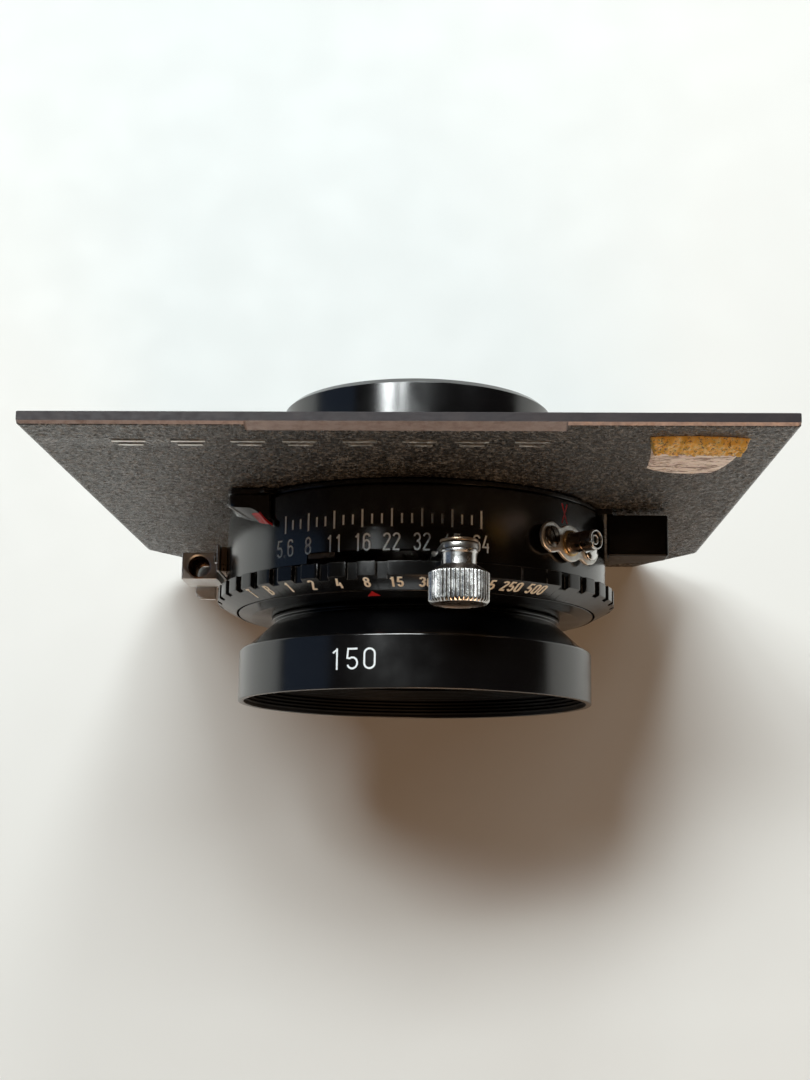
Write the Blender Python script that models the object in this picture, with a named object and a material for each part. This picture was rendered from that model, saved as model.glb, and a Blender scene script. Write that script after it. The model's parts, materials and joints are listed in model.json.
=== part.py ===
"""Large-format camera lens in a size 0 leaf shutter, mounted on its lens board.

The origin is where the optical axis meets the board's rear face. X points right and Z up for someone
who looks at the front of the lens, which faces -Y. Sizes below are millimetres, and angles are degrees
from straight up (+Z), positive towards +X.
"""

import math

import bmesh
import bpy
from mathutils import Matrix, Vector

MM = 0.001

# Lens board
BOARD_WIDTH = 96.0
BOARD_HEIGHT = 99.0
BOARD_THICKNESS = 1.7
AXIS_ABOVE_BOTTOM = 42.93
CORNER_CUT_WIDTH = 9.3
CORNER_CUT_HEIGHT = 14.4
BOARD_HOLE_R = 17.4
LATCH_HALF_WIDTH = 19.8
LATCH_DEPTH = 0.7
LATCH_HEIGHT = 3.2
LIGHT_TRAP_OUTER_R = 41.0
LIGHT_TRAP_INNER_R = 38.5
LIGHT_TRAP_HEIGHT = 1.8

# Shutter housing: a size 0 shutter has a 20 mm long tube with M29.5 x 0.5 cell threads
HOUSING_R = 29.3
HOUSING_WALL = 1.2
HOUSING_REAR_Y = -2.8
HOUSING_FRONT_Y = -13.6
REAR_WALL = 0.7
TUBE_FRONT_Y = -18.0
TUBE_REAR_Y = 2.0
TUBE_BORE_R = 14.9
TUBE_THREAD_R = 16.2
APERTURE_R = 12.3
GAP = 0.15

# Speed ring and front cover
SPEED_RING_R = 30.6
SPEED_RING_REAR_Y = -13.85
SPEED_RING_EDGE_Y = -15.9
SPEED_RING_BORE_R = 27.6
SPEED_RING_FRONT_Y = -17.5
NOTCH_DEPTH = 0.7
NOTCH_COUNT = 39
NOTCH_FIRST = 45.3
NOTCH_LAST = 352.6
NOTCH_SHARE = 0.34
COVER_R = 27.3
COVER_FACE_R = 25.3
COVER_FACE_Y = -18.15

# Moving parts, as angles from the rest pose
APERTURE_TRAVEL = 60.8
IRIS_COUNT = 7
IRIS_PIVOT_R = 24.0
IRIS_LAYER_PITCH = 0.2
IRIS_FIRST_Y = -4.15
SHUTTER_COUNT = 5
SHUTTER_PIVOT_R = 22.3
SHUTTER_SWING = 36.0
SHUTTER_LAYER_PITCH = 0.24
SHUTTER_FIRST_Y = -6.5
BLADE_PIN_END_Y = -6.0
KNOB_RADIUS_FROM_AXIS = 35.0
KNOB_ANGLE = 11.0
COCKING_PLATE_Y = (-12.3, -13.1)
RELEASE_PLATE_Y = (-11.45, -12.1)
BLADE_OPEN_ANGLE = -24.5
SYNC_ANGLE = 48.2
SYNC_Y = -9.4
SYNC_TILT = 4.9
SYNC_EAR_REACH = 4.45

# Glass cells
FRONT_RING_R = 27.0
FRONT_RING_REAR_Y = -23.05
FRONT_RIM_Y = -30.93
FILTER_THREAD_R = 26.0
REAR_BARREL_R = 21.0
REAR_RIM_Y = 15.1

# Outer corner of the aperture index lever, (x, z)
INDEX_CORNER = (-26.9, 21.6)

# Slow-speed gear train
GEAR_MODULE = 0.5
GEAR_Y = (-10.0, -10.8)
TRAIN_RADIUS = 22.0
SECTOR_ANGLE = 160.0
SECTOR_ARC = (-30.0, 15.0)

RING_STEPS = 48
INNER_STEPS = 32
SMALL_STEPS = 12


def clear_scene():
    for old in list(bpy.data.objects):
        bpy.data.objects.remove(old, do_unlink=True)


def make_material(name, colour, roughness, metallic=0.0):
    material = bpy.data.materials.new(name)
    material.use_nodes = True
    shader = material.node_tree.nodes["Principled BSDF"]
    shader.inputs["Base Color"].default_value = (*colour, 1.0)
    shader.inputs["Roughness"].default_value = roughness
    shader.inputs["Metallic"].default_value = metallic
    return material


def polar(radius, angle):
    """(x, z) of a point at this distance from the optical axis."""
    return radius * math.sin(math.radians(angle)), radius * math.cos(math.radians(angle))


def spread(start, end, steps):
    return [start + (end - start) * i / steps for i in range(steps + 1)]


def finish_object(name, shape, material, pivot=(0.0, 0.0, 0.0)):
    """Turns a bmesh in millimetres into an object whose origin is at the pivot."""
    bmesh.ops.recalc_face_normals(shape, faces=shape.faces)
    bmesh.ops.translate(shape, verts=shape.verts, vec=-Vector(pivot))
    bmesh.ops.scale(shape, verts=shape.verts, vec=(MM, MM, MM))
    mesh = bpy.data.meshes.new(name)
    shape.to_mesh(mesh)
    shape.free()
    mesh.shade_smooth()
    mesh.set_sharp_from_angle(angle=math.radians(35.0))
    if material is not None:
        mesh.materials.append(material)
    thing = bpy.data.objects.new(name, mesh)
    thing.location = Vector(pivot) * MM
    bpy.context.scene.collection.objects.link(thing)
    return thing


def loft(name, sections, material, closed=True, pivot=(0.0, 0.0, 0.0)):
    """A solid from cross-sections round the optical axis.

    sections is a list of (angle, [(radius, y), ...]), each with the same number of points.
    """
    shape = bmesh.new()
    rings = []
    for angle, outline in sections:
        points = []
        for radius, y in outline:
            x, z = polar(radius, angle)
            points.append(shape.verts.new((x, y, z)))
        rings.append(points)
    count = len(rings[0])
    pairs = list(zip(rings, rings[1:]))
    if closed:
        pairs.append((rings[-1], rings[0]))
    else:
        shape.faces.new(rings[0])
        shape.faces.new(rings[-1])
    for near, far in pairs:
        for i in range(count):
            j = (i + 1) % count
            shape.faces.new((near[i], near[j], far[j], far[i]))
    bmesh.ops.remove_doubles(shape, verts=shape.verts, dist=0.0005)
    return finish_object(name, shape, material, pivot)


def lathe(name, outline, material, steps=RING_STEPS):
    """Turns a closed outline of (radius, y) points round the optical axis."""
    return loft(name, [(360.0 * i / steps, outline) for i in range(steps)], material)


def lens_element(name, radius, rear, front, material, steps=INNER_STEPS):
    """A glass element from its rear and front surfaces, each (edge y, bulge), cemented solid inside."""
    shape = bmesh.new()
    faces = ((rear[0], rear[1]), (front[0], -front[1]))
    rings = []
    for edge_y, bulge in faces:
        rows = []
        for share in (1.0, 0.75, 0.45):
            y = edge_y + bulge * (1.0 - share * share)
            row = []
            for i in range(steps):
                x, z = polar(radius * share, 360.0 * i / steps)
                row.append(shape.verts.new((x, y, z)))
            rows.append(row)
        top = shape.verts.new((0.0, edge_y + bulge, 0.0))
        for outer, inner in zip(rows, rows[1:]):
            for i in range(steps):
                j = (i + 1) % steps
                shape.faces.new((outer[i], outer[j], inner[j], inner[i]))
        for i in range(steps):
            shape.faces.new((rows[-1][i], rows[-1][(i + 1) % steps], top))
        rings.append(rows[0])
    for i in range(steps):
        j = (i + 1) % steps
        shape.faces.new((rings[0][i], rings[0][j], rings[1][j], rings[1][i]))
    return finish_object(name, shape, material)


def prism(name, outline, y_span, material, pivot=(0.0, 0.0, 0.0)):
    """Extrudes an outline of (x, z) points along the optical axis."""
    shape = bmesh.new()
    ends = [[shape.verts.new((x, y, z)) for x, z in outline] for y in y_span]
    shape.faces.new(ends[0])
    shape.faces.new(ends[1])
    for i in range(len(outline)):
        j = (i + 1) % len(outline)
        shape.faces.new((ends[0][i], ends[0][j], ends[1][j], ends[1][i]))
    return finish_object(name, shape, material, pivot)


def disc_outline(x, z, radius, steps=SMALL_STEPS):
    return [
        (x + radius * math.cos(math.tau * i / steps), z + radius * math.sin(math.tau * i / steps))
        for i in range(steps)
    ]


def box(name, low, high, material):
    outline = [(low[0], low[2]), (high[0], low[2]), (high[0], high[2]), (low[0], high[2])]
    return prism(name, outline, (low[1], high[1]), material)


def turned(name, outline, material, steps=SMALL_STEPS, teeth_depth=0.0, teeth_from=0.0):
    """A solid of revolution about its own +Z, from (radius, height) points that run from axis to axis.

    teeth_depth cuts straight knurling into the points whose radius is over teeth_from.
    """
    shape = bmesh.new()
    rows = []
    for radius, height in outline:
        if radius == 0.0:
            rows.append([shape.verts.new((0.0, 0.0, height))])
            continue
        row = []
        for i in range(steps):
            depth = teeth_depth if teeth_depth and i % 2 and radius > teeth_from else 0.0
            turn = math.tau * i / steps
            reach = radius - depth
            row.append(shape.verts.new((reach * math.cos(turn), reach * math.sin(turn), height)))
        rows.append(row)
    for low, high in zip(rows, rows[1:]):
        for i in range(steps):
            corners = [low[i % len(low)], low[(i + 1) % len(low)]]
            corners += [high[(i + 1) % len(high)], high[i % len(high)]]
            shape.faces.new(list(dict.fromkeys(corners)))
    if len(rows[0]) > 1:
        for i in range(steps):
            j = (i + 1) % steps
            shape.faces.new((rows[-1][i], rows[-1][j], rows[0][j], rows[0][i]))
    return finish_object(name, shape, material)


def place(thing, location, turn=Matrix.Identity(3)):
    """Stands an object that was turned about its own Z at a point given in millimetres."""
    thing.matrix_world = Matrix.Translation(Vector(location) * MM) @ turn.to_4x4()
    return thing


FORWARD = Matrix.Rotation(math.radians(90.0), 3, "X")


def outward(angle):
    """Turns +Z to point away from the optical axis at this angle."""
    return Matrix.Rotation(math.radians(angle), 3, "Y")


def combine(target, tool, operation):
    tool.hide_render = True
    tool.display_type = "WIRE"
    step = target.modifiers.new(f"{operation.lower()} {tool.name}", "BOOLEAN")
    step.operation = operation
    step.solver = "EXACT"
    step.object = tool


def drill(target, name, centres, radius, y_span):
    """Cuts round holes along the optical axis at these (x, z) centres, all with one tool."""
    shape = bmesh.new()
    for x, z in centres:
        outline = disc_outline(x, z, radius, 10)
        ends = [[shape.verts.new((px, y, pz)) for px, pz in outline] for y in y_span]
        shape.faces.new(ends[0])
        shape.faces.new(ends[1])
        for i in range(len(outline)):
            j = (i + 1) % len(outline)
            shape.faces.new((ends[0][i], ends[0][j], ends[1][j], ends[1][i]))
    combine(target, finish_object(name, shape, None), "DIFFERENCE")


def sector_tool(name, inner, outer, start, end, y_span):
    steps = max(2, round((end - start) / 7.5))
    outline = [(inner, y_span[0]), (outer, y_span[0]), (outer, y_span[1]), (inner, y_span[1])]
    return loft(name, [(angle, outline) for angle in spread(start, end, steps)], None, closed=False)


def plate_sections(angles, inner, outer, y_span):
    """Cross-sections of a flat plate whose edges are functions of the angle."""
    rear, front = y_span
    sections = []
    for angle in angles:
        near = inner(angle)
        far = outer(angle)
        sections.append((angle, [(near, rear), (far, rear), (far, front), (near, front)]))
    return sections


# Fixed pieces


def make_board(paint, paper):
    low = -AXIS_ABOVE_BOTTOM
    high = BOARD_HEIGHT - AXIS_ABOVE_BOTTOM
    half = BOARD_WIDTH / 2.0
    outline = [
        (-half + CORNER_CUT_WIDTH, low),
        (half - CORNER_CUT_WIDTH, low),
        (half, low + CORNER_CUT_HEIGHT),
        (half, high),
        (-half, high),
        (-half, low + CORNER_CUT_HEIGHT),
    ]
    board = prism("lens_board", outline, (0.0, -BOARD_THICKNESS), paint)
    trap_outline = [
        (LIGHT_TRAP_INNER_R, -0.4),
        (LIGHT_TRAP_OUTER_R, -0.4),
        (LIGHT_TRAP_OUTER_R, LIGHT_TRAP_HEIGHT),
        (LIGHT_TRAP_INNER_R, LIGHT_TRAP_HEIGHT),
    ]
    combine(board, lathe("light_trap_rim", trap_outline, None), "UNION")
    hole = prism("board_hole", disc_outline(0.0, 0.0, BOARD_HOLE_R, RING_STEPS), (2.0, -4.0), None)
    combine(board, hole, "DIFFERENCE")
    front = -BOARD_THICKNESS
    shape = bmesh.new()
    slope = LATCH_HEIGHT / LATCH_DEPTH
    wedge = ((front - 1.0, high - LATCH_HEIGHT - slope), (front - 1.0, high + 1.0))
    wedge += ((front + LATCH_DEPTH + LATCH_DEPTH / LATCH_HEIGHT, high + 1.0),)
    ends = [[shape.verts.new((x, y, z)) for y, z in wedge] for x in (-LATCH_HALF_WIDTH, LATCH_HALF_WIDTH)]
    shape.faces.new(ends[0])
    shape.faces.new(ends[1])
    for i in range(3):
        j = (i + 1) % 3
        shape.faces.new((ends[0][i], ends[0][j], ends[1][j], ends[1][i]))
    combine(board, finish_object("latch_recess", shape, None), "DIFFERENCE")
    label = [(31.7, 35.1), (32.9, 33.2), (34.5, 31.8), (37.3, 30.9), (39.8, 31.4), (41.8, 33.4)]
    label += [(42.7, 36.0), (42.7, 45.7), (43.1, 50.6), (38.0, 51.8), (34.8, 51.9), (30.3, 51.2)]
    prism("torn_label", label, (front - 0.05, front - 0.35), paper)


def make_housing(black):
    outline = [
        (TUBE_BORE_R, TUBE_REAR_Y),
        (TUBE_THREAD_R, TUBE_REAR_Y),
        (TUBE_THREAD_R, -BOARD_THICKNESS - GAP),
        (TUBE_THREAD_R + 2.2, -BOARD_THICKNESS - GAP),
        (TUBE_THREAD_R + 2.2, HOUSING_REAR_Y),
        (HOUSING_R, HOUSING_REAR_Y),
        (HOUSING_R, HOUSING_FRONT_Y),
        (HOUSING_R - HOUSING_WALL, HOUSING_FRONT_Y),
        (HOUSING_R - HOUSING_WALL, HOUSING_REAR_Y - REAR_WALL),
        (TUBE_BORE_R, HOUSING_REAR_Y - REAR_WALL),
    ]
    housing = lathe("shutter_housing", outline, black)
    slot = sector_tool("cocking_slot", HOUSING_R - 3.0, HOUSING_R + 3.0, -30.0, 18.0, (-12.1, -15.0))
    combine(housing, slot, "DIFFERENCE")
    window = sector_tool("release_window", HOUSING_R - 3.0, HOUSING_R + 3.0, -122.0, -93.0, (-11.25, -12.3))
    combine(housing, window, "DIFFERENCE")
    for k, start in enumerate(aperture_post_angles()):
        name = f"aperture_window_{k + 1}"
        span = (start - 4.5, start + APERTURE_TRAVEL + 4.5)
        combine(housing, sector_tool(name, 22.0, 24.4, *span, (-1.0, -5.0)), "DIFFERENCE")


def aperture_post_angles():
    return [-110.0 + 120.0 * k for k in range(3)]


def make_retaining_ring(black):
    """Jam nut behind the board, with two spanner notches in its rear face."""
    angles = sorted(set(spread(0.0, 351.0, 39) + [86.0, 94.0, 266.0, 274.0]))
    sections = []
    for angle in angles:
        notched = min(abs(angle - 90.0), abs(angle - 270.0)) < 3.9
        rear = 1.0 if notched else 1.75
        sections.append((angle, [(16.4, GAP), (20.6, GAP), (20.6, rear), (16.4, rear)]))
    loft("retaining_ring", sections, black)


def make_plates(black, steel):
    base = lathe(
        "blade_base_plate",
        [(APERTURE_R, -5.65), (27.9, -5.65), (27.9, -6.35), (APERTURE_R, -6.35)],
        steel,
        INNER_STEPS,
    )
    pivots = [(IRIS_PIVOT_R, angle) for angle in iris_angles()]
    pivots += [(SHUTTER_PIVOT_R, angle) for angle in shutter_angles()]
    drill(base, "pivot_holes", [polar(radius, angle) for radius, angle in pivots], 0.75, (-5.0, -7.0))
    lathe(
        "mechanism_plate",
        [
            (12.4, -7.8),
            (27.9, -7.8),
            (27.9, -8.5),
            (TUBE_THREAD_R - 0.1, -8.5),
            (TUBE_THREAD_R - 0.1, TUBE_FRONT_Y),
            (TUBE_BORE_R, TUBE_FRONT_Y),
            (TUBE_BORE_R, -8.5),
            (12.4, -8.5),
        ],
        steel,
        INNER_STEPS,
    )
    lathe(
        "front_cover_plate",
        [
            (18.6, -17.35),
            (25.0, -17.35),
            (26.0, -16.8),
            (COVER_R, -16.8),
            (COVER_R, SPEED_RING_FRONT_Y),
            (COVER_FACE_R, COVER_FACE_Y),
            (18.6, COVER_FACE_Y),
        ],
        black,
    )
    lathe(
        "cover_lock_ring",
        [(16.35, -17.3), (18.4, -17.3), (18.4, TUBE_FRONT_Y), (16.35, TUBE_FRONT_Y)],
        black,
        INNER_STEPS,
    )


def make_cells(black, black_ring, glass):
    lathe(
        "front_barrel",
        [
            (12.9, -9.2),
            (14.6, -9.2),
            (14.6, TUBE_FRONT_Y - 0.3),
            (22.2, TUBE_FRONT_Y - 0.3),
            (22.2, -18.6),
            (26.2, -22.9),
            (26.2, -24.6),
            (25.0, -24.6),
            (25.0, -26.6),
            (20.2, -26.6),
            (20.2, -20.6),
            (12.9, -20.0),
        ],
        black,
    )
    lathe(
        "front_ring",
        [
            (26.35, FRONT_RING_REAR_Y),
            (26.7, FRONT_RING_REAR_Y),
            (FRONT_RING_R, FRONT_RING_REAR_Y - 0.3),
            (FRONT_RING_R, FRONT_RIM_Y + 0.15),
            (FRONT_RING_R - 0.15, FRONT_RIM_Y),
            (FILTER_THREAD_R + 0.1, FRONT_RIM_Y),
            (FILTER_THREAD_R, FRONT_RIM_Y + 0.2),
            (FILTER_THREAD_R, -27.6),
            (25.15, -27.2),
            (25.15, -24.75),
            (26.35, -24.75),
        ],
        black_ring,
    )
    lathe(
        "front_glass_ring",
        [(18.9, -26.75), (25.0, -26.75), (25.0, -28.1), (24.2, -28.1), (18.9, -27.05)],
        black_ring,
    )
    lens_element("front_element", 20.0, (-21.0, -1.6), (-24.4, 2.15), glass)
    lens_element("front_inner_element", 12.7, (-10.2, -1.4), (-16.8, 1.4), glass, 32)
    lathe(
        "rear_barrel",
        [
            (12.9, -2.7),
            (14.6, -2.7),
            (14.6, TUBE_REAR_Y + 0.3),
            (REAR_BARREL_R, TUBE_REAR_Y + 0.3),
            (REAR_BARREL_R, REAR_RIM_Y - 0.6),
            (REAR_BARREL_R - 0.6, REAR_RIM_Y),
            (19.2, REAR_RIM_Y),
            (18.4, 12.4),
            (17.2, 12.4),
            (17.2, 6.4),
            (12.9, 5.8),
        ],
        black,
    )
    lathe(
        "rear_glass_ring",
        [(15.4, 12.6), (18.3, 12.6), (18.7, 14.0), (16.9, 14.0)],
        black_ring,
        INNER_STEPS,
    )
    lens_element("rear_element", 17.0, (12.2, 0.0), (7.2, 0.6), glass, 36)
    lens_element("rear_inner_element", 12.7, (4.6, 0.6), (-1.2, 0.9), glass, 32)


def make_sync_terminal(silver, white, brass):
    """Flash contact: a flange with two screws and a coaxial barrel that points away from the axis."""
    turn = outward(SYNC_ANGLE) @ Matrix.Rotation(math.radians(-SYNC_TILT), 3, "Z")
    radial = turn @ Vector((0.0, 0.0, 1.0))
    along = turn @ Vector((1.0, 0.0, 0.0))
    base = Vector((0.0, SYNC_Y, 0.0)) + radial * HOUSING_R

    def at(height, side=0.0):
        return base + radial * height + along * side

    collar = turned("sync_flange", [(1.75, 0.15), (2.6, 0.15), (2.6, 0.75), (1.75, 0.75)], silver, 24)
    flange = place(collar, at(0.35), turn)
    for k, side in enumerate((-SYNC_EAR_REACH, SYNC_EAR_REACH)):
        ear = turned(f"sync_ear_{k + 1}", [(0.0, 0.15), (2.1, 0.15), (2.1, 0.75), (0.0, 0.75)], None, 16)
        combine(flange, place(ear, at(0.35, side), turn), "UNION")
        arm = box(f"sync_arm_{k + 1}", (-1.1, -1.5, 0.15), (1.1, 1.5, 0.75), None)
        combine(flange, place(arm, at(0.35, 0.66 * side), turn), "UNION")
        hole = turned(f"sync_hole_{k + 1}", [(0.0, -1.0), (0.85, -1.0), (0.85, 2.0), (0.0, 2.0)], None)
        combine(flange, place(hole, at(0.35, side), turn), "DIFFERENCE")
        screw = [(0.0, -0.2), (0.6, -0.2), (0.6, 0.9), (1.45, 0.9), (1.45, 1.3), (1.0, 1.6), (0.0, 1.6)]
        place(turned(f"sync_screw_{k + 1}", screw, silver), at(0.4, side), turn)
    barrel = [(1.12, 0.3), (1.55, 0.3), (1.55, 1.0), (1.45, 1.2), (1.45, 5.5), (1.3, 5.7), (1.12, 5.7)]
    place(turned("sync_barrel", barrel, silver, 20), at(0.0), turn)
    insulator = [(0.84, 0.35), (1.06, 0.35), (1.06, 4.9), (0.84, 4.9)]
    place(turned("sync_insulator", insulator, white), at(0.0), turn)
    contact = [(0.5, 0.4), (0.78, 0.4), (0.78, 5.4), (0.5, 5.4)]
    place(turned("sync_contact", contact, brass), at(0.0), turn)


def make_cable_socket(silver, black):
    block = box("socket_block", (-36.1, -12.2, -3.5), (-30.52, -8.1, 4.0), silver)
    taper = [(0.0, -6.0), (1.3, -6.0), (1.3, 0.0), (1.75, 5.0), (0.0, 5.0)]
    bore = turned("socket_bore", taper, None, 20)
    combine(block, place(bore, (-33.45, -10.25, 0.0)), "DIFFERENCE")
    plate = box("socket_plate", (-30.4, -11.3, -6.5), (-29.95, -7.2, 6.0), silver)
    seat = [(-29.85, 5.2), (-29.85, -5.6)]
    for z in spread(-5.6, 5.2, 8):
        seat.append((-math.sqrt((HOUSING_R + 0.1) ** 2 - z * z), z))
    prism("socket_spacer", seat, (-11.2, -7.4), black)
    sideways = Matrix.Rotation(math.radians(-90.0), 3, "Y")
    for k, z in enumerate((-5.0, 5.0)):
        bore = [(0.0, -1.0), (0.6, -1.0), (0.6, 2.0), (0.0, 2.0)]
        hole = turned(f"socket_screw_hole_{k + 1}", bore, None)
        combine(plate, place(hole, (-29.95, -9.2, z), sideways), "DIFFERENCE")
        screw = [(0.0, 0.0), (0.4, 0.0), (0.4, 0.65), (0.9, 0.65), (0.9, 0.95), (0.0, 1.1)]
        place(turned(f"socket_screw_{k + 1}", screw, silver), (-29.9, -9.2, z), sideways)


# Moving pieces


def make_speed_ring(black, steel):
    """Ring with the speed numerals on its bevel and finger notches round its rim."""
    pitch = (NOTCH_LAST - NOTCH_FIRST) / (NOTCH_COUNT - 1)
    half = 0.5 * NOTCH_SHARE * pitch
    edge = 0.05 * pitch
    samples = []
    for k in range(NOTCH_COUNT):
        centre = NOTCH_FIRST + pitch * k
        samples += [(centre - half - edge, 0), (centre - half, 1)]
        samples += [(centre + half, 1), (centre + half + edge, 0)]
    smooth_from = NOTCH_LAST + half + edge - 360.0
    smooth_to = NOTCH_FIRST - half - edge
    samples += [(angle, 0) for angle in spread(smooth_from, smooth_to, 7)[1:-1]]
    slope = (SPEED_RING_EDGE_Y - SPEED_RING_FRONT_Y) / (SPEED_RING_R - SPEED_RING_BORE_R)
    sections = []
    for angle, notched in samples:
        rim = SPEED_RING_R - NOTCH_DEPTH * notched
        edge_y = SPEED_RING_EDGE_Y - slope * (SPEED_RING_R - rim)
        outline = [
            (SPEED_RING_BORE_R, SPEED_RING_REAR_Y),
            (rim, SPEED_RING_REAR_Y),
            (rim, edge_y),
            (SPEED_RING_BORE_R, SPEED_RING_FRONT_Y),
        ]
        sections.append((angle, outline))
    loft("speed_ring", sections, black)

    def cam_edge(angle):
        return 25.4 + 1.2 * math.sin(math.radians(3.0 * angle))

    angles = spread(0.0, 351.0, 39)
    loft("speed_cam_plate", plate_sections(angles, lambda a: 17.2, cam_edge, (-14.2, -14.8)), steel)


def corner_radius(angle, wall_x, top_z):
    """Distance from the optical axis to a square corner's outline at this angle."""
    side = abs(wall_x / math.sin(math.radians(angle)))
    top = top_z / math.cos(math.radians(angle))
    return min(side, top)


def make_aperture_control(black, steel):
    """Aperture ring, its two levers and the inner ring that turns the iris blades."""
    index_span = (-64.8, -43.6)
    second_span = (74.0, 88.0)

    def rim(angle):
        if index_span[0] <= angle <= index_span[1]:
            return max(31.0, corner_radius(angle, *INDEX_CORNER))
        return 31.0 if second_span[0] <= angle <= second_span[1] else 28.9

    angles = spread(-180.0, 171.0, 39)
    for start, end in (index_span, second_span):
        angles += [start - 0.3, start, end, end + 0.3]
    angles += [-58.0, -51.3, -47.0]
    rear_span = (-BOARD_THICKNESS - 0.25, HOUSING_REAR_Y + 0.2)
    loft("aperture_ring", plate_sections(sorted(angles), lambda a: 18.7, rim, rear_span), black)

    inner = HOUSING_R + 0.35
    sections = []
    for angle in (-64.8, -62.0, -58.0, -54.5, -51.3, -49.0, -46.0, -43.7, -41.6):
        outer = max(corner_radius(angle, *INDEX_CORNER), inner + 0.15)
        share = (angle + 64.8) / (64.8 - 41.6)
        foot = -4.2 - 2.9 * share
        ridge = -3.4 - 1.2 * min(share / 0.7, 1.0)
        ridge = ridge if share < 0.75 else ridge - 2.4 * (share - 0.75) / 0.25
        rear = HOUSING_REAR_Y + 0.05 if angle < -43.6 else ridge + 0.9
        sections.append((angle, [(inner, rear), (outer, rear), (outer, ridge), (inner, foot)]))
    loft("aperture_index_lever", sections, black, closed=False)

    fin = [(inner - 0.55, 8.6), (38.2, 8.6), (38.2, 4.6), (36.9, 3.5), (33.8, 2.4), (31.2, 0.9)]
    fin += [(inner + 0.2, -0.8), (inner + 0.2, 1.0), (inner - 0.1, 5.0)]
    prism("aperture_second_lever", fin, (HOUSING_REAR_Y + 0.05, -9.0), black)

    flat_ring = [(20.5, -3.65), (27.6, -3.65), (27.6, -4.0), (20.5, -4.0)]
    cam = lathe("iris_cam_ring", flat_ring, steel, INNER_STEPS)
    for k, angle in enumerate(aperture_post_angles()):
        post = sector_tool(f"cam_post_{k + 1}", 22.5, 23.9, angle - 2.5, angle + 2.5, (-2.75, -3.85))
        combine(cam, post, "UNION")


def iris_angles():
    return [360.0 * k / IRIS_COUNT + 10.0 for k in range(IRIS_COUNT)]


def shutter_angles():
    return [360.0 * k / SHUTTER_COUNT + 36.0 for k in range(SHUTTER_COUNT)]


def make_blade(name, pivot_angle, pivot_r, outer_r, span, y_rear, thickness, closed_turn, material):
    """A curved leaf with an ear at its pivot. Its outline is drawn open and turned shut about the pivot."""
    x, z = polar(pivot_r, pivot_angle)
    inner_r = APERTURE_R + 0.2
    ear = 1.5
    ear_half = math.degrees(ear / pivot_r)
    samples = []
    for k in range(5):
        share = -1.0 + k / 2.0
        reach = pivot_r + ear * math.sqrt(max(0.0, 1.0 - share * share))
        samples.append((ear_half * share, reach))
    samples += [(ear_half * 1.6, outer_r + 1.2)]
    samples += [(angle, outer_r) for angle in spread(ear_half * 3.0, span - 8.0, 9)]
    samples += [(span - 3.0, outer_r - 0.8), (span, 0.5 * (outer_r + inner_r) + 1.0)]
    sections = []
    for offset, outer in samples:
        inner = inner_r if offset < span - 4.0 else inner_r + 0.8
        y_front = y_rear - thickness
        outline = [(inner, y_rear), (outer, y_rear), (outer, y_front), (inner, y_front)]
        sections.append((pivot_angle + offset, outline))
    blade = loft(name, sections, material, closed=False, pivot=(x, 0.0, z))
    blade.data.transform(Matrix.Rotation(math.radians(closed_turn), 4, "Y"))
    pin_span = (y_rear - 0.5 * thickness, BLADE_PIN_END_Y)
    combine(blade, prism(f"{name}_pin", disc_outline(x, z, 0.5, 8), pin_span, None, (x, 0.0, z)), "UNION")


def make_blades(black, steel):
    for k, angle in enumerate(iris_angles()):
        y = IRIS_FIRST_Y - IRIS_LAYER_PITCH * k
        make_blade(f"iris_blade_{k + 1}", angle, IRIS_PIVOT_R, 18.4, 128.0, y, 0.1, 0.0, black)
    for k, angle in enumerate(shutter_angles()):
        y = SHUTTER_FIRST_Y - SHUTTER_LAYER_PITCH * k
        name = f"shutter_blade_{k + 1}"
        make_blade(name, angle, SHUTTER_PIVOT_R, 20.4, 118.0, y, 0.12, SHUTTER_SWING, steel)
    angles = spread(0.0, 351.0, 39)

    def drive_rim(angle):
        return 20.0 + 0.7 * (math.cos(math.radians(SHUTTER_COUNT * angle)) > 0.6)

    loft("blade_drive_ring", plate_sections(angles, lambda a: 16.4, drive_rim, (-8.7, -9.3)), steel)


def make_cocking(steel, silver):
    """Cocking ring with the arm that comes out of the housing's slot, and its knurled knob."""
    half = 5.3

    def reach(angle):
        off = abs(angle - KNOB_ANGLE)
        if off > half:
            return 21.0
        if off > 4.1:
            return 29.5
        return KNOB_RADIUS_FROM_AXIS + 2.45 * math.sqrt(max(0.0, 1.0 - (off / 4.25) ** 2))

    angles = spread(-180.0, 171.0, 39)
    angles = [angle for angle in angles if abs(angle - KNOB_ANGLE) > half + 0.6]
    offsets = (-half - 0.15, -half, -4.25, -4.05, -3.2, -1.8, 0.0, 1.8, 3.2, 4.05, 4.25, half, half + 0.15)
    angles += [KNOB_ANGLE + offset for offset in offsets]
    loft("cocking_lever", plate_sections(sorted(angles), lambda a: 16.6, reach, COCKING_PLATE_Y), steel)
    x, z = polar(KNOB_RADIUS_FROM_AXIS, KNOB_ANGLE)
    front = COCKING_PLATE_Y[1] - 0.1
    knob = [
        (0.0, 0.0),
        (2.4, 0.0),
        (2.4, 1.7),
        (3.9, 2.65),
        (4.1, 2.85),
        (4.1, 6.75),
        (3.75, 7.25),
        (3.2, 7.25),
        (0.0, 7.05),
    ]
    place(turned("cocking_knob", knob, silver, 48, 0.25, 4.0), (x, front, z), FORWARD)
    rivet = [(0.0, 0.0), (2.0, 0.0), (2.3, -0.2), (2.3, -0.5), (0.0, -0.6)]
    place(turned("cocking_knob_rivet", rivet[::-1], silver, 16), (x, COCKING_PLATE_Y[0] + 0.1, z), FORWARD)


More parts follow.
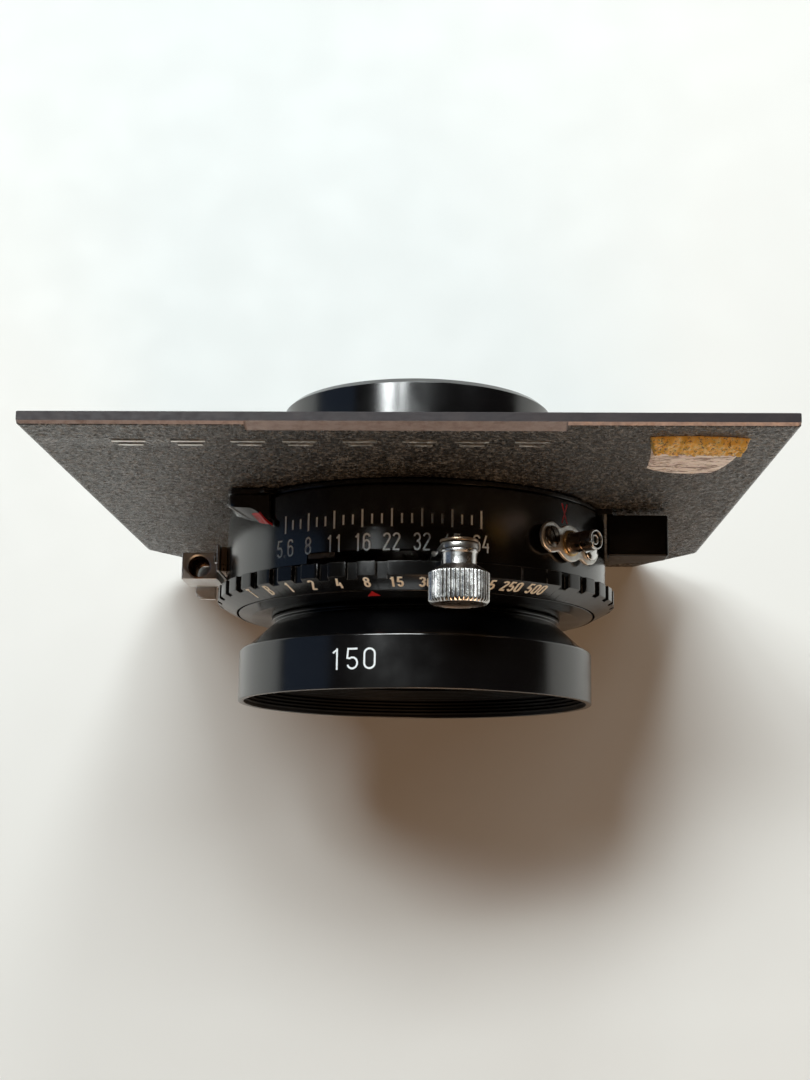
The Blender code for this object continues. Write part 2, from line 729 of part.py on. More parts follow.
def make_blade_open_lever(steel):
    def reach(angle):
        return 30.1 if abs(angle - BLADE_OPEN_ANGLE) <= 4.01 else 27.7

    angles = spread(BLADE_OPEN_ANGLE - 14.0, BLADE_OPEN_ANGLE - 4.2, 2)
    angles += spread(BLADE_OPEN_ANGLE - 4.0, BLADE_OPEN_ANGLE + 4.0, 3)
    sections = plate_sections(angles, lambda a: 21.4, reach, COCKING_PLATE_Y)
    loft("blade_open_lever", sections, steel, closed=False)


def make_release(silver, steel):
    """Release lever: its arm leaves the housing below the cable socket and carries a bent pad."""
    pivot = (-20.6, -13.0)
    pad_low = (-35.2, -14.1, -5.1)
    pad_high = (-31.95, -8.9, -4.3)
    arm = [(-18.9, -13.6), (-22.0, -14.9), (-28.6, -8.6), (-31.6, -5.1), (-33.0, -5.0), (-33.0, -4.4)]
    arm += [(-30.2, -4.3), (-27.4, -5.8), (-20.0, -11.2)]
    lever = prism("release_lever", arm, RELEASE_PLATE_Y, silver, (pivot[0], 0.0, pivot[1]))
    combine(lever, box("release_pad", pad_low, pad_high, None), "UNION")
    hole = prism("release_hole", disc_outline(*pivot, 0.95), (-9.0, -12.6), None)
    combine(lever, hole, "DIFFERENCE")
    prism("release_pivot_pin", disc_outline(*pivot, 0.75), (-8.65, -12.9), steel)


def gear_outline(x, z, teeth, turn, arc=None):
    """(x, z) outline of a spur gear. arc, in degrees from the turn, is the span that keeps its teeth."""
    radius = 0.5 * GEAR_MODULE * teeth
    pitch = 360.0 / teeth
    top = radius + 0.75 * GEAR_MODULE
    root = radius - 1.1 * GEAR_MODULE
    points = []
    for k in range(teeth):
        centre = turn + pitch * k
        offset = (centre - turn + 180.0) % 360.0 - 180.0
        if arc is not None and not arc[0] <= offset <= arc[1]:
            if arc[0] - pitch < offset < arc[1] + pitch:
                points.append((root, centre))
            elif k % 4 == 0:
                points.append((0.3 * radius, centre))
            continue
        points += [(root, centre - 0.30 * pitch), (top, centre - 0.12 * pitch)]
        points += [(top, centre + 0.12 * pitch), (root, centre + 0.30 * pitch)]
    outline = []
    for distance, angle in points:
        dx, dz = polar(distance, angle)
        outline.append((x + dx, z + dz))
    return outline


def make_gear_train(brass, steel):
    """Slow-speed escapement: sector, wheel and star wheel in mesh, and the anchor beside them."""
    teeth = (28, 14, 10)
    radii = [0.5 * GEAR_MODULE * count for count in teeth]
    here = SECTOR_ANGLE
    centres = [polar(TRAIN_RADIUS, here)]
    for near, far in zip(radii, radii[1:]):
        here += 2.0 * math.degrees(math.asin((near + far + 0.05) / (2.0 * TRAIN_RADIUS)))
        centres.append(polar(TRAIN_RADIUS, here))
    names = ("retard_sector", "retard_wheel", "retard_star_wheel")
    facing = 0.0
    for k, name in enumerate(names):
        x, z = centres[k]
        if k < 2:
            ahead = math.degrees(math.atan2(centres[k + 1][0] - x, centres[k + 1][1] - z))
        if k == 0:
            outline = gear_outline(x, z, teeth[0], ahead, SECTOR_ARC)
        else:
            back = math.degrees(math.atan2(centres[k - 1][0] - x, centres[k - 1][1] - z))
            pitch = 360.0 / teeth[k]
            phase = 0.0
            if k == 2:
                previous = centres[1]
                turn_to = math.degrees(math.atan2(x - previous[0], z - previous[1]))
                off = (turn_to - facing) / (360.0 / teeth[1])
                phase = (off - round(off)) * pitch
            facing = back + 0.5 * pitch + phase
            outline = gear_outline(x, z, teeth[k], facing)
        prism(name, outline, GEAR_Y, brass, (x, 0.0, z))
    end = here + 2.0 * math.degrees(math.asin((radii[2] + 2.6) / (2.0 * TRAIN_RADIUS)))
    ax, az = polar(TRAIN_RADIUS, end)
    anchor = [(ax - 1.6, az - 2.4), (ax + 0.4, az - 1.6), (ax + 0.9, az + 1.6)]
    anchor += [(ax - 0.9, az + 2.6), (ax - 0.6, az)]
    prism("retard_anchor", anchor, GEAR_Y, steel)


def make_main_spring(steel):
    """Coil spring between its post and the cocking ring, as a round wire."""
    turns = 7
    per_turn = 8
    radius = 1.1
    length = 14.0
    points = []
    for k in range(turns * per_turn + 1):
        turn = math.tau * k / per_turn
        z = -0.5 * length + length * k / (turns * per_turn)
        points.append((24.2 + radius * math.cos(turn), -10.6 + radius * math.sin(turn), z))
    curve = bpy.data.curves.new("main_spring", "CURVE")
    curve.dimensions = "3D"
    curve.bevel_depth = 0.25 * MM
    curve.bevel_resolution = 0
    curve.use_fill_caps = True
    spline = curve.splines.new("POLY")
    spline.points.add(len(points) - 1)
    for point, place_mm in zip(spline.points, points):
        point.co = (*(Vector(place_mm) * MM), 1.0)
    curve.materials.append(steel)
    bpy.context.scene.collection.objects.link(bpy.data.objects.new("main_spring", curve))
    prism("spring_post", disc_outline(24.2, -8.6, 0.7), (-8.65, -11.8), steel)


def main():
    clear_scene()
    crackle = make_material("crackle_paint", (0.09, 0.09, 0.085), 0.75)
    black = make_material("black_paint", (0.012, 0.012, 0.014), 0.3)
    satin = make_material("satin_black", (0.02, 0.02, 0.022), 0.4)
    chrome = make_material("chrome", (0.75, 0.75, 0.75), 0.18, 1.0)
    steel = make_material("steel", (0.45, 0.45, 0.45), 0.35, 1.0)
    brass = make_material("brass", (0.72, 0.55, 0.28), 0.3, 1.0)
    glass = make_material("glass", (0.25, 0.2, 0.3), 0.05)
    paper = make_material("paper", (0.62, 0.42, 0.22), 0.9)
    nylon = make_material("nylon", (0.08, 0.08, 0.08), 0.5)
    make_board(crackle, paper)
    make_housing(black)
    make_retaining_ring(satin)
    make_plates(black, steel)
    make_cells(satin, satin, glass)
    make_sync_terminal(chrome, nylon, brass)
    make_cable_socket(chrome, black)
    make_speed_ring(black, steel)
    make_aperture_control(black, steel)
    make_blades(satin, steel)
    make_cocking(steel, chrome)
    make_blade_open_lever(steel)
    make_release(chrome, steel)
    make_gear_train(brass, steel)
    make_main_spring(steel)


main()
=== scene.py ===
"""Looks of a large-format lens in a leaf shutter on its lens board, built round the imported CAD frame."""

import json
import math

import bmesh
import bpy
from mathutils import Matrix, Vector, noise

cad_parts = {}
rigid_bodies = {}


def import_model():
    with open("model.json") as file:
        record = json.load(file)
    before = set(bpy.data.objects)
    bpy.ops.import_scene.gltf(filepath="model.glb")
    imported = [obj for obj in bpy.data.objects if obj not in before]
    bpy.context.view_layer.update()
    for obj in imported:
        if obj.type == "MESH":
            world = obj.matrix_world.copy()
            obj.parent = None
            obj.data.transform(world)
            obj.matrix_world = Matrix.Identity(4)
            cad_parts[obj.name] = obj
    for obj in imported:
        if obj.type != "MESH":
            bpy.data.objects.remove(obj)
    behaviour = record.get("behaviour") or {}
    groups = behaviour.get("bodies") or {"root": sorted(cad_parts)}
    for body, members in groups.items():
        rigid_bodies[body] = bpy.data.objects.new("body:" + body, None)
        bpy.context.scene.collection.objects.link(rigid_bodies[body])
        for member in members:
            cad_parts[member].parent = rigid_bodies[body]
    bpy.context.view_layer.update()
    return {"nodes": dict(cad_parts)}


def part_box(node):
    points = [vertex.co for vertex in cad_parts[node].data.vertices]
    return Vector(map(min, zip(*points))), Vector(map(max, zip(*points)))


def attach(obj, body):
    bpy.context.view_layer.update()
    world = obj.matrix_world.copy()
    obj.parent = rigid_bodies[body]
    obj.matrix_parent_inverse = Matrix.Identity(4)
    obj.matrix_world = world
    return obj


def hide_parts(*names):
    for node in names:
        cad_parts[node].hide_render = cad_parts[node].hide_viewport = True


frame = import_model()

MM = 0.001
ROOT = "lens_unit"

# Sizes in millimetres. X is right, Y goes into the camera, Z is up, and the origin is where the optical
# axis meets the board's rear face. Angles are degrees from straight up, positive towards +X.
BOARD_LOW, BOARD_HIGH = (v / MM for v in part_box("lens_board"))
BOARD_FRONT = -1.7
HOUSING_R = 29.3
HOUSING_REAR = -2.8
HOUSING_FRONT = -13.6
RING_R = 30.6
RING_REAR = -13.85
RING_EDGE = -15.9
CONE_R = 27.6
CONE_FRONT = -17.5
FINE = 192


# Meshes


def polar(radius, angle):
    """(x, z) of a point at this distance from the optical axis."""
    return radius * math.sin(math.radians(angle)), radius * math.cos(math.radians(angle))


def spread(start, end, steps):
    return [start + (end - start) * i / steps for i in range(steps + 1)]


def smoothstep(low, high, value):
    share = min(max((value - low) / (high - low), 0.0), 1.0)
    return share * share * (3.0 - 2.0 * share)


def rounded(points, steps=4, closed=True):
    """Rounds the corners of an outline of (a, b) or (a, b, corner radius) points."""
    out = []
    count = len(points)
    for i, point in enumerate(points):
        corner = Vector(point[:2])
        radius = point[2] if len(point) > 2 else 0.0
        if not radius or (not closed and i in (0, count - 1)):
            out.append(tuple(corner))
            continue
        back = Vector(points[i - 1][:2]) - corner
        ahead = Vector(points[(i + 1) % count][:2]) - corner
        half = 0.5 * back.angle(ahead)
        cut = min(radius / math.tan(half), 0.49 * back.length, 0.49 * ahead.length)
        radius = cut * math.tan(half)
        back.normalize()
        ahead.normalize()
        centre = corner + (back + ahead).normalized() * (radius / math.sin(half))
        first = corner + back * cut - centre
        last = corner + ahead * cut - centre
        start = math.atan2(first.y, first.x)
        turn = (math.atan2(last.y, last.x) - start + math.pi) % math.tau - math.pi
        for k in range(steps + 1):
            angle = start + turn * k / steps
            out.append((centre.x + radius * math.cos(angle), centre.y + radius * math.sin(angle)))
    return out


def settle(name, shape, materials, body, node=None, sharp=32.0, flat=False):
    """Makes a piece from a bmesh in millimetres, and says what it rides on and stands for."""
    bmesh.ops.recalc_face_normals(shape, faces=shape.faces)
    bmesh.ops.scale(shape, verts=shape.verts, vec=(MM, MM, MM))
    mesh = bpy.data.meshes.new(name)
    shape.to_mesh(mesh)
    shape.free()
    for material in materials if isinstance(materials, (list, tuple)) else [materials]:
        mesh.materials.append(material)
    if not flat:
        mesh.shade_smooth()
        mesh.set_sharp_from_angle(angle=math.radians(sharp))
    piece = bpy.data.objects.new(name, mesh)
    bpy.context.scene.collection.objects.link(piece)
    if body:
        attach(piece, body)
    if node:
        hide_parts(node)
    return piece


def skin_rings(shape, rings, closed):
    """Joins rings of vertices into one skin, closed end to end or with a face on each end."""
    count = len(rings[0])
    pairs = list(zip(rings, rings[1:]))
    if closed:
        pairs.append((rings[-1], rings[0]))
    else:
        shape.faces.new(rings[0])
        shape.faces.new(rings[-1])
    for near, far in pairs:
        for i in range(count):
            j = (i + 1) % count
            shape.faces.new((near[i], near[j], far[j], far[i]))


def skin_grid(shape, rows):
    """Faces between rows of vertices, one after the other."""
    for low, high in zip(rows, rows[1:]):
        for i in range(len(low) - 1):
            yield shape.faces.new((low[i], low[i + 1], high[i + 1], high[i]))


def grow_rim(shape, edges):
    """Extrudes open edges, and gives the new vertices and the new open edges."""
    made = bmesh.ops.extrude_edge_only(shape, edges=edges)["geom"]
    verts = [g for g in made if isinstance(g, bmesh.types.BMVert)]
    return verts, [g for g in made if isinstance(g, bmesh.types.BMEdge) and g.is_boundary]


def loft(sections, closed=True):
    """A bmesh from cross-sections round the optical axis, each (angle, [(radius, y), ...])."""
    shape = bmesh.new()
    rings = []
    for angle, outline in sections:
        ring = []
        for radius, y in outline:
            x, z = polar(radius, angle)
            ring.append(shape.verts.new((x, y, z)))
        rings.append(ring)
    skin_rings(shape, rings, closed)
    return shape


def lathe(outline, steps=FINE):
    outline = rounded(outline)
    return loft([(360.0 * i / steps, outline) for i in range(steps)])


def turned(outline, steps=64, reach=None):
    """A bmesh turned about its own +Z from (radius, height) points that run from axis to axis.

    reach(radius, height, turn) may change a point's radius.
    """
    shape = bmesh.new()
    rows = []
    for radius, height in rounded(outline, 4, closed=outline[0][0] > 0.0):
        if radius < 1e-6:
            rows.append([shape.verts.new((0.0, 0.0, height))])
            continue
        row = []
        for i in range(steps):
            turn = math.tau * i / steps
            r = reach(radius, height, turn) if reach else radius
            row.append(shape.verts.new((r * math.cos(turn), r * math.sin(turn), height)))
        rows.append(row)
    for low, high in zip(rows, rows[1:]):
        for i in range(steps):
            corners = [low[i % len(low)], low[(i + 1) % len(low)]]
            corners += [high[(i + 1) % len(high)], high[i % len(high)]]
            shape.faces.new(list(dict.fromkeys(corners)))
    if len(rows[0]) > 1:
        for i in range(steps):
            j = (i + 1) % steps
            shape.faces.new((rows[-1][i], rows[-1][j], rows[0][j], rows[0][i]))
    return shape


def prism(outline, y_span):
    """A bmesh of an (x, z) outline along the optical axis."""
    shape = bmesh.new()
    skin_rings(shape, [[shape.verts.new((x, y, z)) for x, z in outline] for y in y_span], False)
    return shape


def stand(shape, place, turn=None):
    """Turns a bmesh about its origin and moves it."""
    if turn is not None:
        shape.transform(turn.to_4x4())
    bmesh.ops.translate(shape, verts=shape.verts, vec=Vector(place))
    return shape


def flatten_shading(piece):
    """Keeps the broad faces of a piece looking flat beside its rounded edges."""
    step = piece.modifiers.new("shading", "WEIGHTED_NORMAL")
    step.keep_sharp = True
    step.weight = 90


def repaint(piece, chosen):
    """Gives the second material to the faces whose centre, in millimetres, is chosen."""
    for face in piece.data.polygons:
        if chosen(face.center / MM):
            face.material_index = 1


def soften(piece, width, segments=2, angle=30.0):
    """Rounds a piece's edges with a Bevel modifier."""
    step = piece.modifiers.new("edges", "BEVEL")
    step.width = width * MM
    step.segments = segments
    step.limit_method = "ANGLE"
    step.angle_limit = math.radians(angle)
    step.harden_normals = False


def merge(shapes):
    """One bmesh from several."""
    whole = bmesh.new()
    for shape in shapes:
        mesh = bpy.data.meshes.new("part")
        shape.to_mesh(mesh)
        shape.free()
        whole.from_mesh(mesh)
        bpy.data.meshes.remove(mesh)
    return whole


def cut(piece, tool_shape):
    """Cuts a bmesh out of a piece for good."""
    tool = settle("tool", tool_shape, [], None, flat=True)
    step = piece.modifiers.new("cut", "BOOLEAN")
    step.operation = "DIFFERENCE"
    step.solver = "EXACT"
    step.object = tool
    bpy.context.view_layer.update()
    done = bpy.data.meshes.new_from_object(piece.evaluated_get(bpy.context.evaluated_depsgraph_get()))
    piece.modifiers.remove(step)
    piece.data = done
    bpy.data.objects.remove(tool, do_unlink=True)
    done.shade_smooth()
    done.set_sharp_from_angle(angle=math.radians(32.0))


def saw_cut(size):
    """A cutter for a screw's slot."""
    shape = bmesh.new()
    bmesh.ops.create_cube(shape, size=1.0)
    bmesh.ops.scale(shape, verts=shape.verts, vec=size)
    return shape


FORWARD = Matrix.Rotation(math.radians(90.0), 3, "X")


def outward(angle):
    """Turns +Z to point away from the optical axis at this angle."""
    return Matrix.Rotation(math.radians(angle), 3, "Y")


# Materials


class Look:
    """Builds a procedural material on top of one Principled shader."""

    def __init__(self, name, colour, roughness, metallic=0.0):
        self.material = bpy.data.materials.new(name)
        self.material.use_nodes = True
        self.tree = self.material.node_tree
        self.shader = self.tree.nodes["Principled BSDF"]
        self.set("Base Color", (*colour, 1.0))
        self.set("Roughness", roughness)
        self.set("Metallic", metallic)
        self.where = self.tree.nodes.new("ShaderNodeTexCoord").outputs["Object"]
        self.normal = None

    def set(self, socket, value):
        self.shader.inputs[socket].default_value = value

    def node(self, kind, **inputs):
        made = self.tree.nodes.new(kind)
        for name, value in inputs.items():
            socket = made.inputs[name.replace("_", " ")]
            if isinstance(value, bpy.types.NodeSocket):
                self.tree.links.new(value, socket)
            else:
                socket.default_value = value
        return made

    def noise(self, size, detail=4.0, rough=0.55, stretch=(1.0, 1.0, 1.0), distortion=0.0):
        """Noise with features about size millimetres across."""
        scaled = self.node("ShaderNodeMapping", Vector=self.where)
        scaled.inputs["Scale"].default_value = stretch
        made = self.node("ShaderNodeTexNoise", Vector=scaled.outputs[0], Roughness=rough, Detail=detail)
        made.inputs["Scale"].default_value = 1.0 / (size * MM)
        made.inputs["Distortion"].default_value = distortion
        return made.outputs["Fac"]

    def ramp(self, source, low, high, out_low=0.0, out_high=1.0):
        """Maps low to high in the source onto out_low to out_high."""
        spans = {"From_Min": low, "From_Max": high, "To_Min": out_low, "To_Max": out_high}
        return self.node("ShaderNodeMapRange", Value=source, **spans).outputs[0]

    def edges(self, width):
        """1 where an outer edge is near and 0 on flat ground."""
        bevel = self.node("ShaderNodeBevel", Radius=width * MM)
        bevel.samples = 4
        ground = self.node("ShaderNodeNewGeometry")
        dot = self.tree.nodes.new("ShaderNodeVectorMath")
        dot.operation = "DOT_PRODUCT"
        self.tree.links.new(bevel.outputs[0], dot.inputs[0])
        self.tree.links.new(ground.outputs["Normal"], dot.inputs[1])
        return self.ramp(dot.outputs["Value"], 0.98, 0.7)

    def times(self, a, b):
        made = self.tree.nodes.new("ShaderNodeMath")
        made.operation = "MULTIPLY"
        for socket, value in zip(made.inputs, (a, b)):
            if isinstance(value, bpy.types.NodeSocket):
                self.tree.links.new(value, socket)
            else:
                socket.default_value = value
        return made.outputs[0]

    def tint(self, share, colour):
        """Mixes a colour over what the base colour is so far."""
        mix = self.tree.nodes.new("ShaderNodeMix")
        mix.data_type = "RGBA"
        base = self.shader.inputs["Base Color"]
        under, over = (socket for socket in mix.inputs if socket.type == "RGBA")
        over.default_value = (*colour, 1.0)
        if base.is_linked:
            self.tree.links.new(base.links[0].from_socket, under)
        else:
            under.default_value = base.default_value
        self.tree.links.new(share, mix.inputs["Factor"])
        result = next(socket for socket in mix.outputs if socket.type == "RGBA")
        self.tree.links.new(result, base)

    def stain(self, grain, spread_over, colour):
        """Mixes a colour over the base where noise of this grain passes from low to high, up to a share."""
        low, high, most = spread_over
        self.tint(self.ramp(self.noise(*grain), low, high, 0.0, most), colour)

    def rough(self, source, low, high):
        """Roughness from low to high as the source goes from 0.35 to 0.65, as noise does."""
        self.tree.links.new(self.ramp(source, 0.35, 0.65, low, high), self.shader.inputs["Roughness"])

    def bump(self, source, height, strength=1.0):
        """Adds a bump of this height in millimetres."""
        made = self.node("ShaderNodeBump", Height=source, Strength=strength, Distance=height * MM)
        if self.normal is not None:
            self.tree.links.new(self.normal, made.inputs["Normal"])
        self.normal = made.outputs[0]
        self.tree.links.new(self.normal, self.shader.inputs["Normal"])


def black_metal(name, colour, roughness, ior, wear, wear_colour=(0.35, 0.33, 0.31)):
    """Black paint or anodising with faint cloudiness, fine grain and bright rubbed edges."""
    look = Look(name, colour, roughness)
    look.set("IOR", ior)
    look.rough(look.noise(6.0, 3.0), roughness * 0.85, roughness * 1.2)
    dust = look.noise(0.35, 2.0, 0.7)
    look.tint(look.ramp(dust, 0.68, 0.82, 0.0, 0.06), (0.3, 0.28, 0.25))
    if wear:
        rub = look.times(look.edges(0.16), look.ramp(look.noise(1.2, 4.0, 0.7), 0.42, 0.6, 0.0, wear))
        look.tint(rub, wear_colour)
    look.bump(look.noise(0.09, 2.0), 0.004, 0.5)
    return look.material


def bright_metal(name, colour, roughness, brushed=None, stain=0.12):
    """Plated or bare metal with fine scratches, soft stains and a little tarnish."""
    look = Look(name, colour, roughness, 1.0)
    look.rough(look.noise(1.6, 5.0, 0.65), roughness * 0.7, roughness * 1.5)
    look.stain((2.3, 5.0, 0.7), (0.5, 0.72, stain), (0.25, 0.17, 0.1))
    if brushed:
        look.bump(look.noise(0.25, 3.0, 0.6, brushed), 0.012, 0.6)
    look.bump(look.noise(0.12, 3.0, 0.7), 0.004, 0.5)
    return look.material


def crackle_paint():
    """Black paint with fine raised grain; the grain's raised tops are painted lighter grey as painted
    highlights.
    """
    look = Look("crackle_paint", (0.014, 0.014, 0.0135), 0.24)
    look.set("IOR", 1.6)
    grain = look.noise(0.5, 3.0, 0.55, distortion=0.6)
    # Painted highlight: the raised tops of the grain are painted lighter grey, standing in for glints on the
    # bumps.
    look.tint(look.ramp(grain, 0.53, 0.59, 0.0, 0.95), (0.2, 0.2, 0.195))
    look.stain((14.0, 3.0), (0.45, 0.7, 0.25), (0.05, 0.047, 0.043))
    look.rough(look.noise(0.8, 3.0, 0.6), 0.2, 0.36)
    look.bump(grain, 0.45, 1.0)
    return look.material


def edge_paint():
    look = Look("edge_paint", (0.024, 0.019, 0.022), 0.5)
    look.set("IOR", 1.3)
    look.stain((3.0, 4.0, 0.7), (0.45, 0.7, 0.5), (0.055, 0.042, 0.042))
    look.rough(look.noise(1.0, 3.0, 0.6), 0.36, 0.5)
    look.bump(look.noise(0.4, 3.0, 0.6, (0.3, 1.0, 1.0)), 0.03, 0.5)
    return look.material


def milled_edge():
    look = Look("bare_milled_edge", (0.4, 0.35, 0.35), 0.5, 0.4)
    look.rough(look.noise(0.8, 4.0, 0.7), 0.35, 0.6)
    look.stain((1.4, 5.0, 0.75), (0.45, 0.65, 0.6), (0.2, 0.14, 0.12))
    look.stain((0.5, 3.0, 0.7), (0.58, 0.7, 0.5), (0.5, 0.42, 0.36))
    look.bump(look.noise(0.3, 3.0, 0.7, (0.08, 1.0, 1.0)), 0.03, 0.8)
    return look.material


def glass(name, tint_colour, film):
    look = Look(name, tint_colour, 0.01)
    look.set("IOR", 1.55)
    look.set("Transmission Weight", 1.0)
    look.set("Thin Film Thickness", film)
    look.set("Thin Film IOR", 1.38)
    look.rough(look.noise(5.0, 4.0, 0.6), 0.0, 0.02)
    look.stain((0.5, 2.0, 0.7), (0.7, 0.82, 0.08), (0.8, 0.8, 0.8))
    return look.material


def marking(name, colour, roughness, worn):
    """Filled paint of a mark, worn thin in places."""
    look = Look(name, colour, roughness)
    look.stain((0.35, 4.0, 0.75), (0.52, 0.68, worn), tuple(0.55 * c for c in colour))
    look.rough(look.noise(0.6, 3.0), roughness * 0.85, roughness * 1.2)
    look.bump(look.noise(0.08, 2.0), 0.004, 0.6)
    return look.material


CRACKLE = crackle_paint()
MILLED = milled_edge()
EDGE_PAINT = edge_paint()
BLACK = black_metal("black_paint", (0.0025, 0.0025, 0.003), 0.17, 1.8, 0.45)
RING_BLACK = black_metal("speed_ring_paint", (0.003, 0.003, 0.0032), 0.19, 1.6, 0.7, (0.5, 0.48, 0.45))
SATIN = black_metal("satin_black", (0.003, 0.003, 0.0035), 0.18, 1.8, 0.5)
INNER_BLACK = black_metal("inner_black", (0.003, 0.003, 0.003), 0.5, 1.22, 0.0)
LEVER_BLACK = black_metal("lever_black", (0.0025, 0.0025, 0.003), 0.24, 1.28, 0.15)
CHROME = bright_metal("chrome_plating", (0.78, 0.78, 0.77), 0.12)
SATIN_CHROME = bright_metal("satin_chrome", (0.62, 0.62, 0.61), 0.24, (1.0, 1.0, 0.12))
STEEL = bright_metal("plain_steel", (0.5, 0.49, 0.47), 0.3, (1.0, 0.15, 1.0))
BRASS = bright_metal("turned_brass", (0.62, 0.44, 0.2), 0.28)
NICKEL = bright_metal("nickel_plating", (0.78, 0.78, 0.75), 0.42)
WHITE_MARK = marking("off_white_marking", (0.9, 0.97, 1.0), 0.45, 0.2)
CREAM_MARK = marking("cream_marking", (1.0, 1.0, 0.9), 0.45, 0.25)
RED_MARK = marking("red_marking", (0.6, 0.016, 0.02), 0.4, 0.35)
TARNISHED = bright_metal("tarnished_plating", (0.4, 0.29, 0.2), 0.34)
KNOB_PLATING = bright_metal("knob_plating", (0.8, 0.8, 0.79), 0.22, None, 0.04)
SATIN_SILVER = bright_metal("satin_silver", (0.82, 0.83, 0.83), 0.46, (1.0, 1.0, 0.3))
NYLON = marking("dark_insulator", (0.03, 0.03, 0.032), 0.45, 0.3)
FRONT_GLASS = glass("front_coated_glass", (0.96, 0.97, 0.96), 420.0)
REAR_GLASS = glass("rear_coated_glass", (0.96, 0.96, 0.97), 330.0)


# Strokes for digits and marks


def arc(cx, cy, rx, ry, start, end, steps=10):
    turns = [math.radians(angle) for angle in spread(start, end, steps)]
    return [(cx + rx * math.cos(turn), cy + ry * math.sin(turn)) for turn in turns]


def glyph(mark, width, stroke):
    """Centre lines of a digit or mark, one unit high, as (points, closed) pairs."""
    low, high = 0.5 * stroke, 1.0 - 0.5 * stroke
    left, right = 0.5 * stroke, width - 0.5 * stroke
    mid = 0.5 * (left + right)
    rx = 0.5 * (right - left)
    ry = min(1.15 * rx, 0.24)
    waist = 0.53
    top, bottom = 0.5 * (high - waist), 0.5 * (waist - low)

    def upper(wide, start, end, steps=10):
        return arc(mid, waist + top, wide * rx, top, start, end, steps)

    def lower(start, end, steps=10):
        return arc(mid, low + bottom, rx, bottom, start, end, steps)

    if mark == "0":
        return [(arc(mid, high - ry, rx, ry, 0, 180) + arc(mid, low + ry, rx, ry, 180, 360), True)]
    if mark == "1":
        stem = mid + 0.25 * rx
        flag = [(stem - 0.85 * rx, high - 0.17), (stem, high - 0.02)]
        return [([(stem, low - 0.5 * stroke), (stem, high + 0.5 * stroke)], False), (flag, False)]
    if mark == "2":
        foot = [(left, low + 0.04), (left, low), (right, low)]
        return [(arc(mid, high - ry, rx, ry, 170, -20) + foot, False)]
    if mark == "3":
        return [(upper(0.94, 165, -90) + lower(90, -165), False)]
    if mark == "4":
        stem = right - 0.35 * rx
        slope = [(mid + 0.15 * rx, high + 0.3 * stroke), (left, low + 0.27), (right + 0.02, low + 0.27)]
        return [(slope, False), ([(stem, low - 0.5 * stroke), (stem, low + 0.5)], False)]
    if mark == "5":
        shoulder = 0.56
        bowl = 0.5 * (shoulder - low)
        points = [(right, high), (left + 0.04, high), (left, shoulder - 0.02)]
        return [(points + arc(mid, low + bowl, rx, bowl, 125, -160), False)]
    if mark == "6":
        points = arc(mid, high - ry, rx, ry, 12, 180) + arc(mid, low + ry, rx, ry, 180, 360)
        return [(points + arc(mid, 0.6 - ry, rx, ry, 0, 165), False)]
    if mark == "8":
        return [(upper(0.9, 0, 345, 20), True), (lower(0, 345, 20), True)]
    if mark == "B":
        bowl = [(left, high), (mid, high)] + upper(0.9, 80, -80) + [(mid, waist), (left, waist)]
        belly = [(left, waist), (mid, waist)] + lower(80, -80) + [(mid, low), (left, low)]
        return [([(left, 0.0), (left, 1.0)], False), (bowl, False), (belly, False)]
    if mark == "T":
        return [([(left - 0.03, high), (right + 0.03, high)], False), ([(mid, 0.0), (mid, high)], False)]
    if mark == "X":
        return [([(left, 0.0), (right, 1.0)], False), ([(right, 0.0), (left, 1.0)], False)]
    if mark == ".":
        return [([(0.0, 0.5 * stroke), (stroke, 0.5 * stroke)], False)]
    raise ValueError(mark)


def ribbon(points, closed, half):
    """Left and right edges of a stroke of this half width."""
    count = len(points)
    sides = []
    for i, point in enumerate(points):
        here = Vector(point)
        ways = []
        if closed or i:
            ways.append((here - Vector(points[i - 1])).normalized())
        if closed or i < count - 1:
            ways.append((Vector(points[(i + 1) % count]) - here).normalized())
        way = sum(ways, Vector((0.0, 0.0))).normalized()
        across = Vector((-way.y, way.x))
        stretch = 1.0 / max(0.55, across.dot(Vector((-ways[0].y, ways[0].x))))
        sides.append((here + across * half * stretch, here - across * half * stretch))
    return sides


def draw(strokes, half, surface, lift):
    """A bmesh of strokes laid on surface(across, up, height), all in millimetres."""
    shape = bmesh.new()
    for k, (points, closed) in enumerate(strokes):
        height = lift + 0.0015 * k
        rings = []
        for one, other in ribbon(points, closed, half):
            corners = ((one, -0.03), (other, -0.03), (other, height), (one, height))
            rings.append([shape.verts.new(surface(p.x, p.y, h)) for p, h in corners])
        skin_rings(shape, rings, closed)
    return shape


def lettering(text, height, width, stroke, advance):
    """Strokes of a text that is centred across, with its foot at 0, in millimetres."""
    strokes = []
    widths = [0.42 * width if mark == "." else width for mark in text]
    total = sum(w + advance for w in widths) - advance
    at = -0.5 * total
    for mark, w in zip(text, widths):
        for points, closed in glyph(mark, width / height, stroke / height):
            strokes.append(([(at + height * x, height * y) for x, y in points], closed))
        at += w + advance
    return strokes


def on_cylinder(radius, angle, y_foot):
    """Surface for draw(): across runs towards +X, and up runs to the rear."""

    def surface(across, up, height):
        x, z = polar(radius + height, angle + math.degrees(across / radius))
        return x, y_foot + up, z

    return surface


def on_cone(angle, start):
    """As on_cylinder, on the speed ring's bevel. start is how far up the slope from the front edge."""
    rise = Vector((RING_R - CONE_R, RING_EDGE - CONE_FRONT))
    along = rise.normalized()
    out = Vector((-along.y, along.x))
    out = -out if out.y > 0.0 else out

    def surface(across, up, height):
        spot = Vector((CONE_R, CONE_FRONT)) + along * (start + up) + out * height
        x, z = polar(spot.x, angle + math.degrees(across / 29.0))
        return x, spot.y, z

    return surface


# Lens board


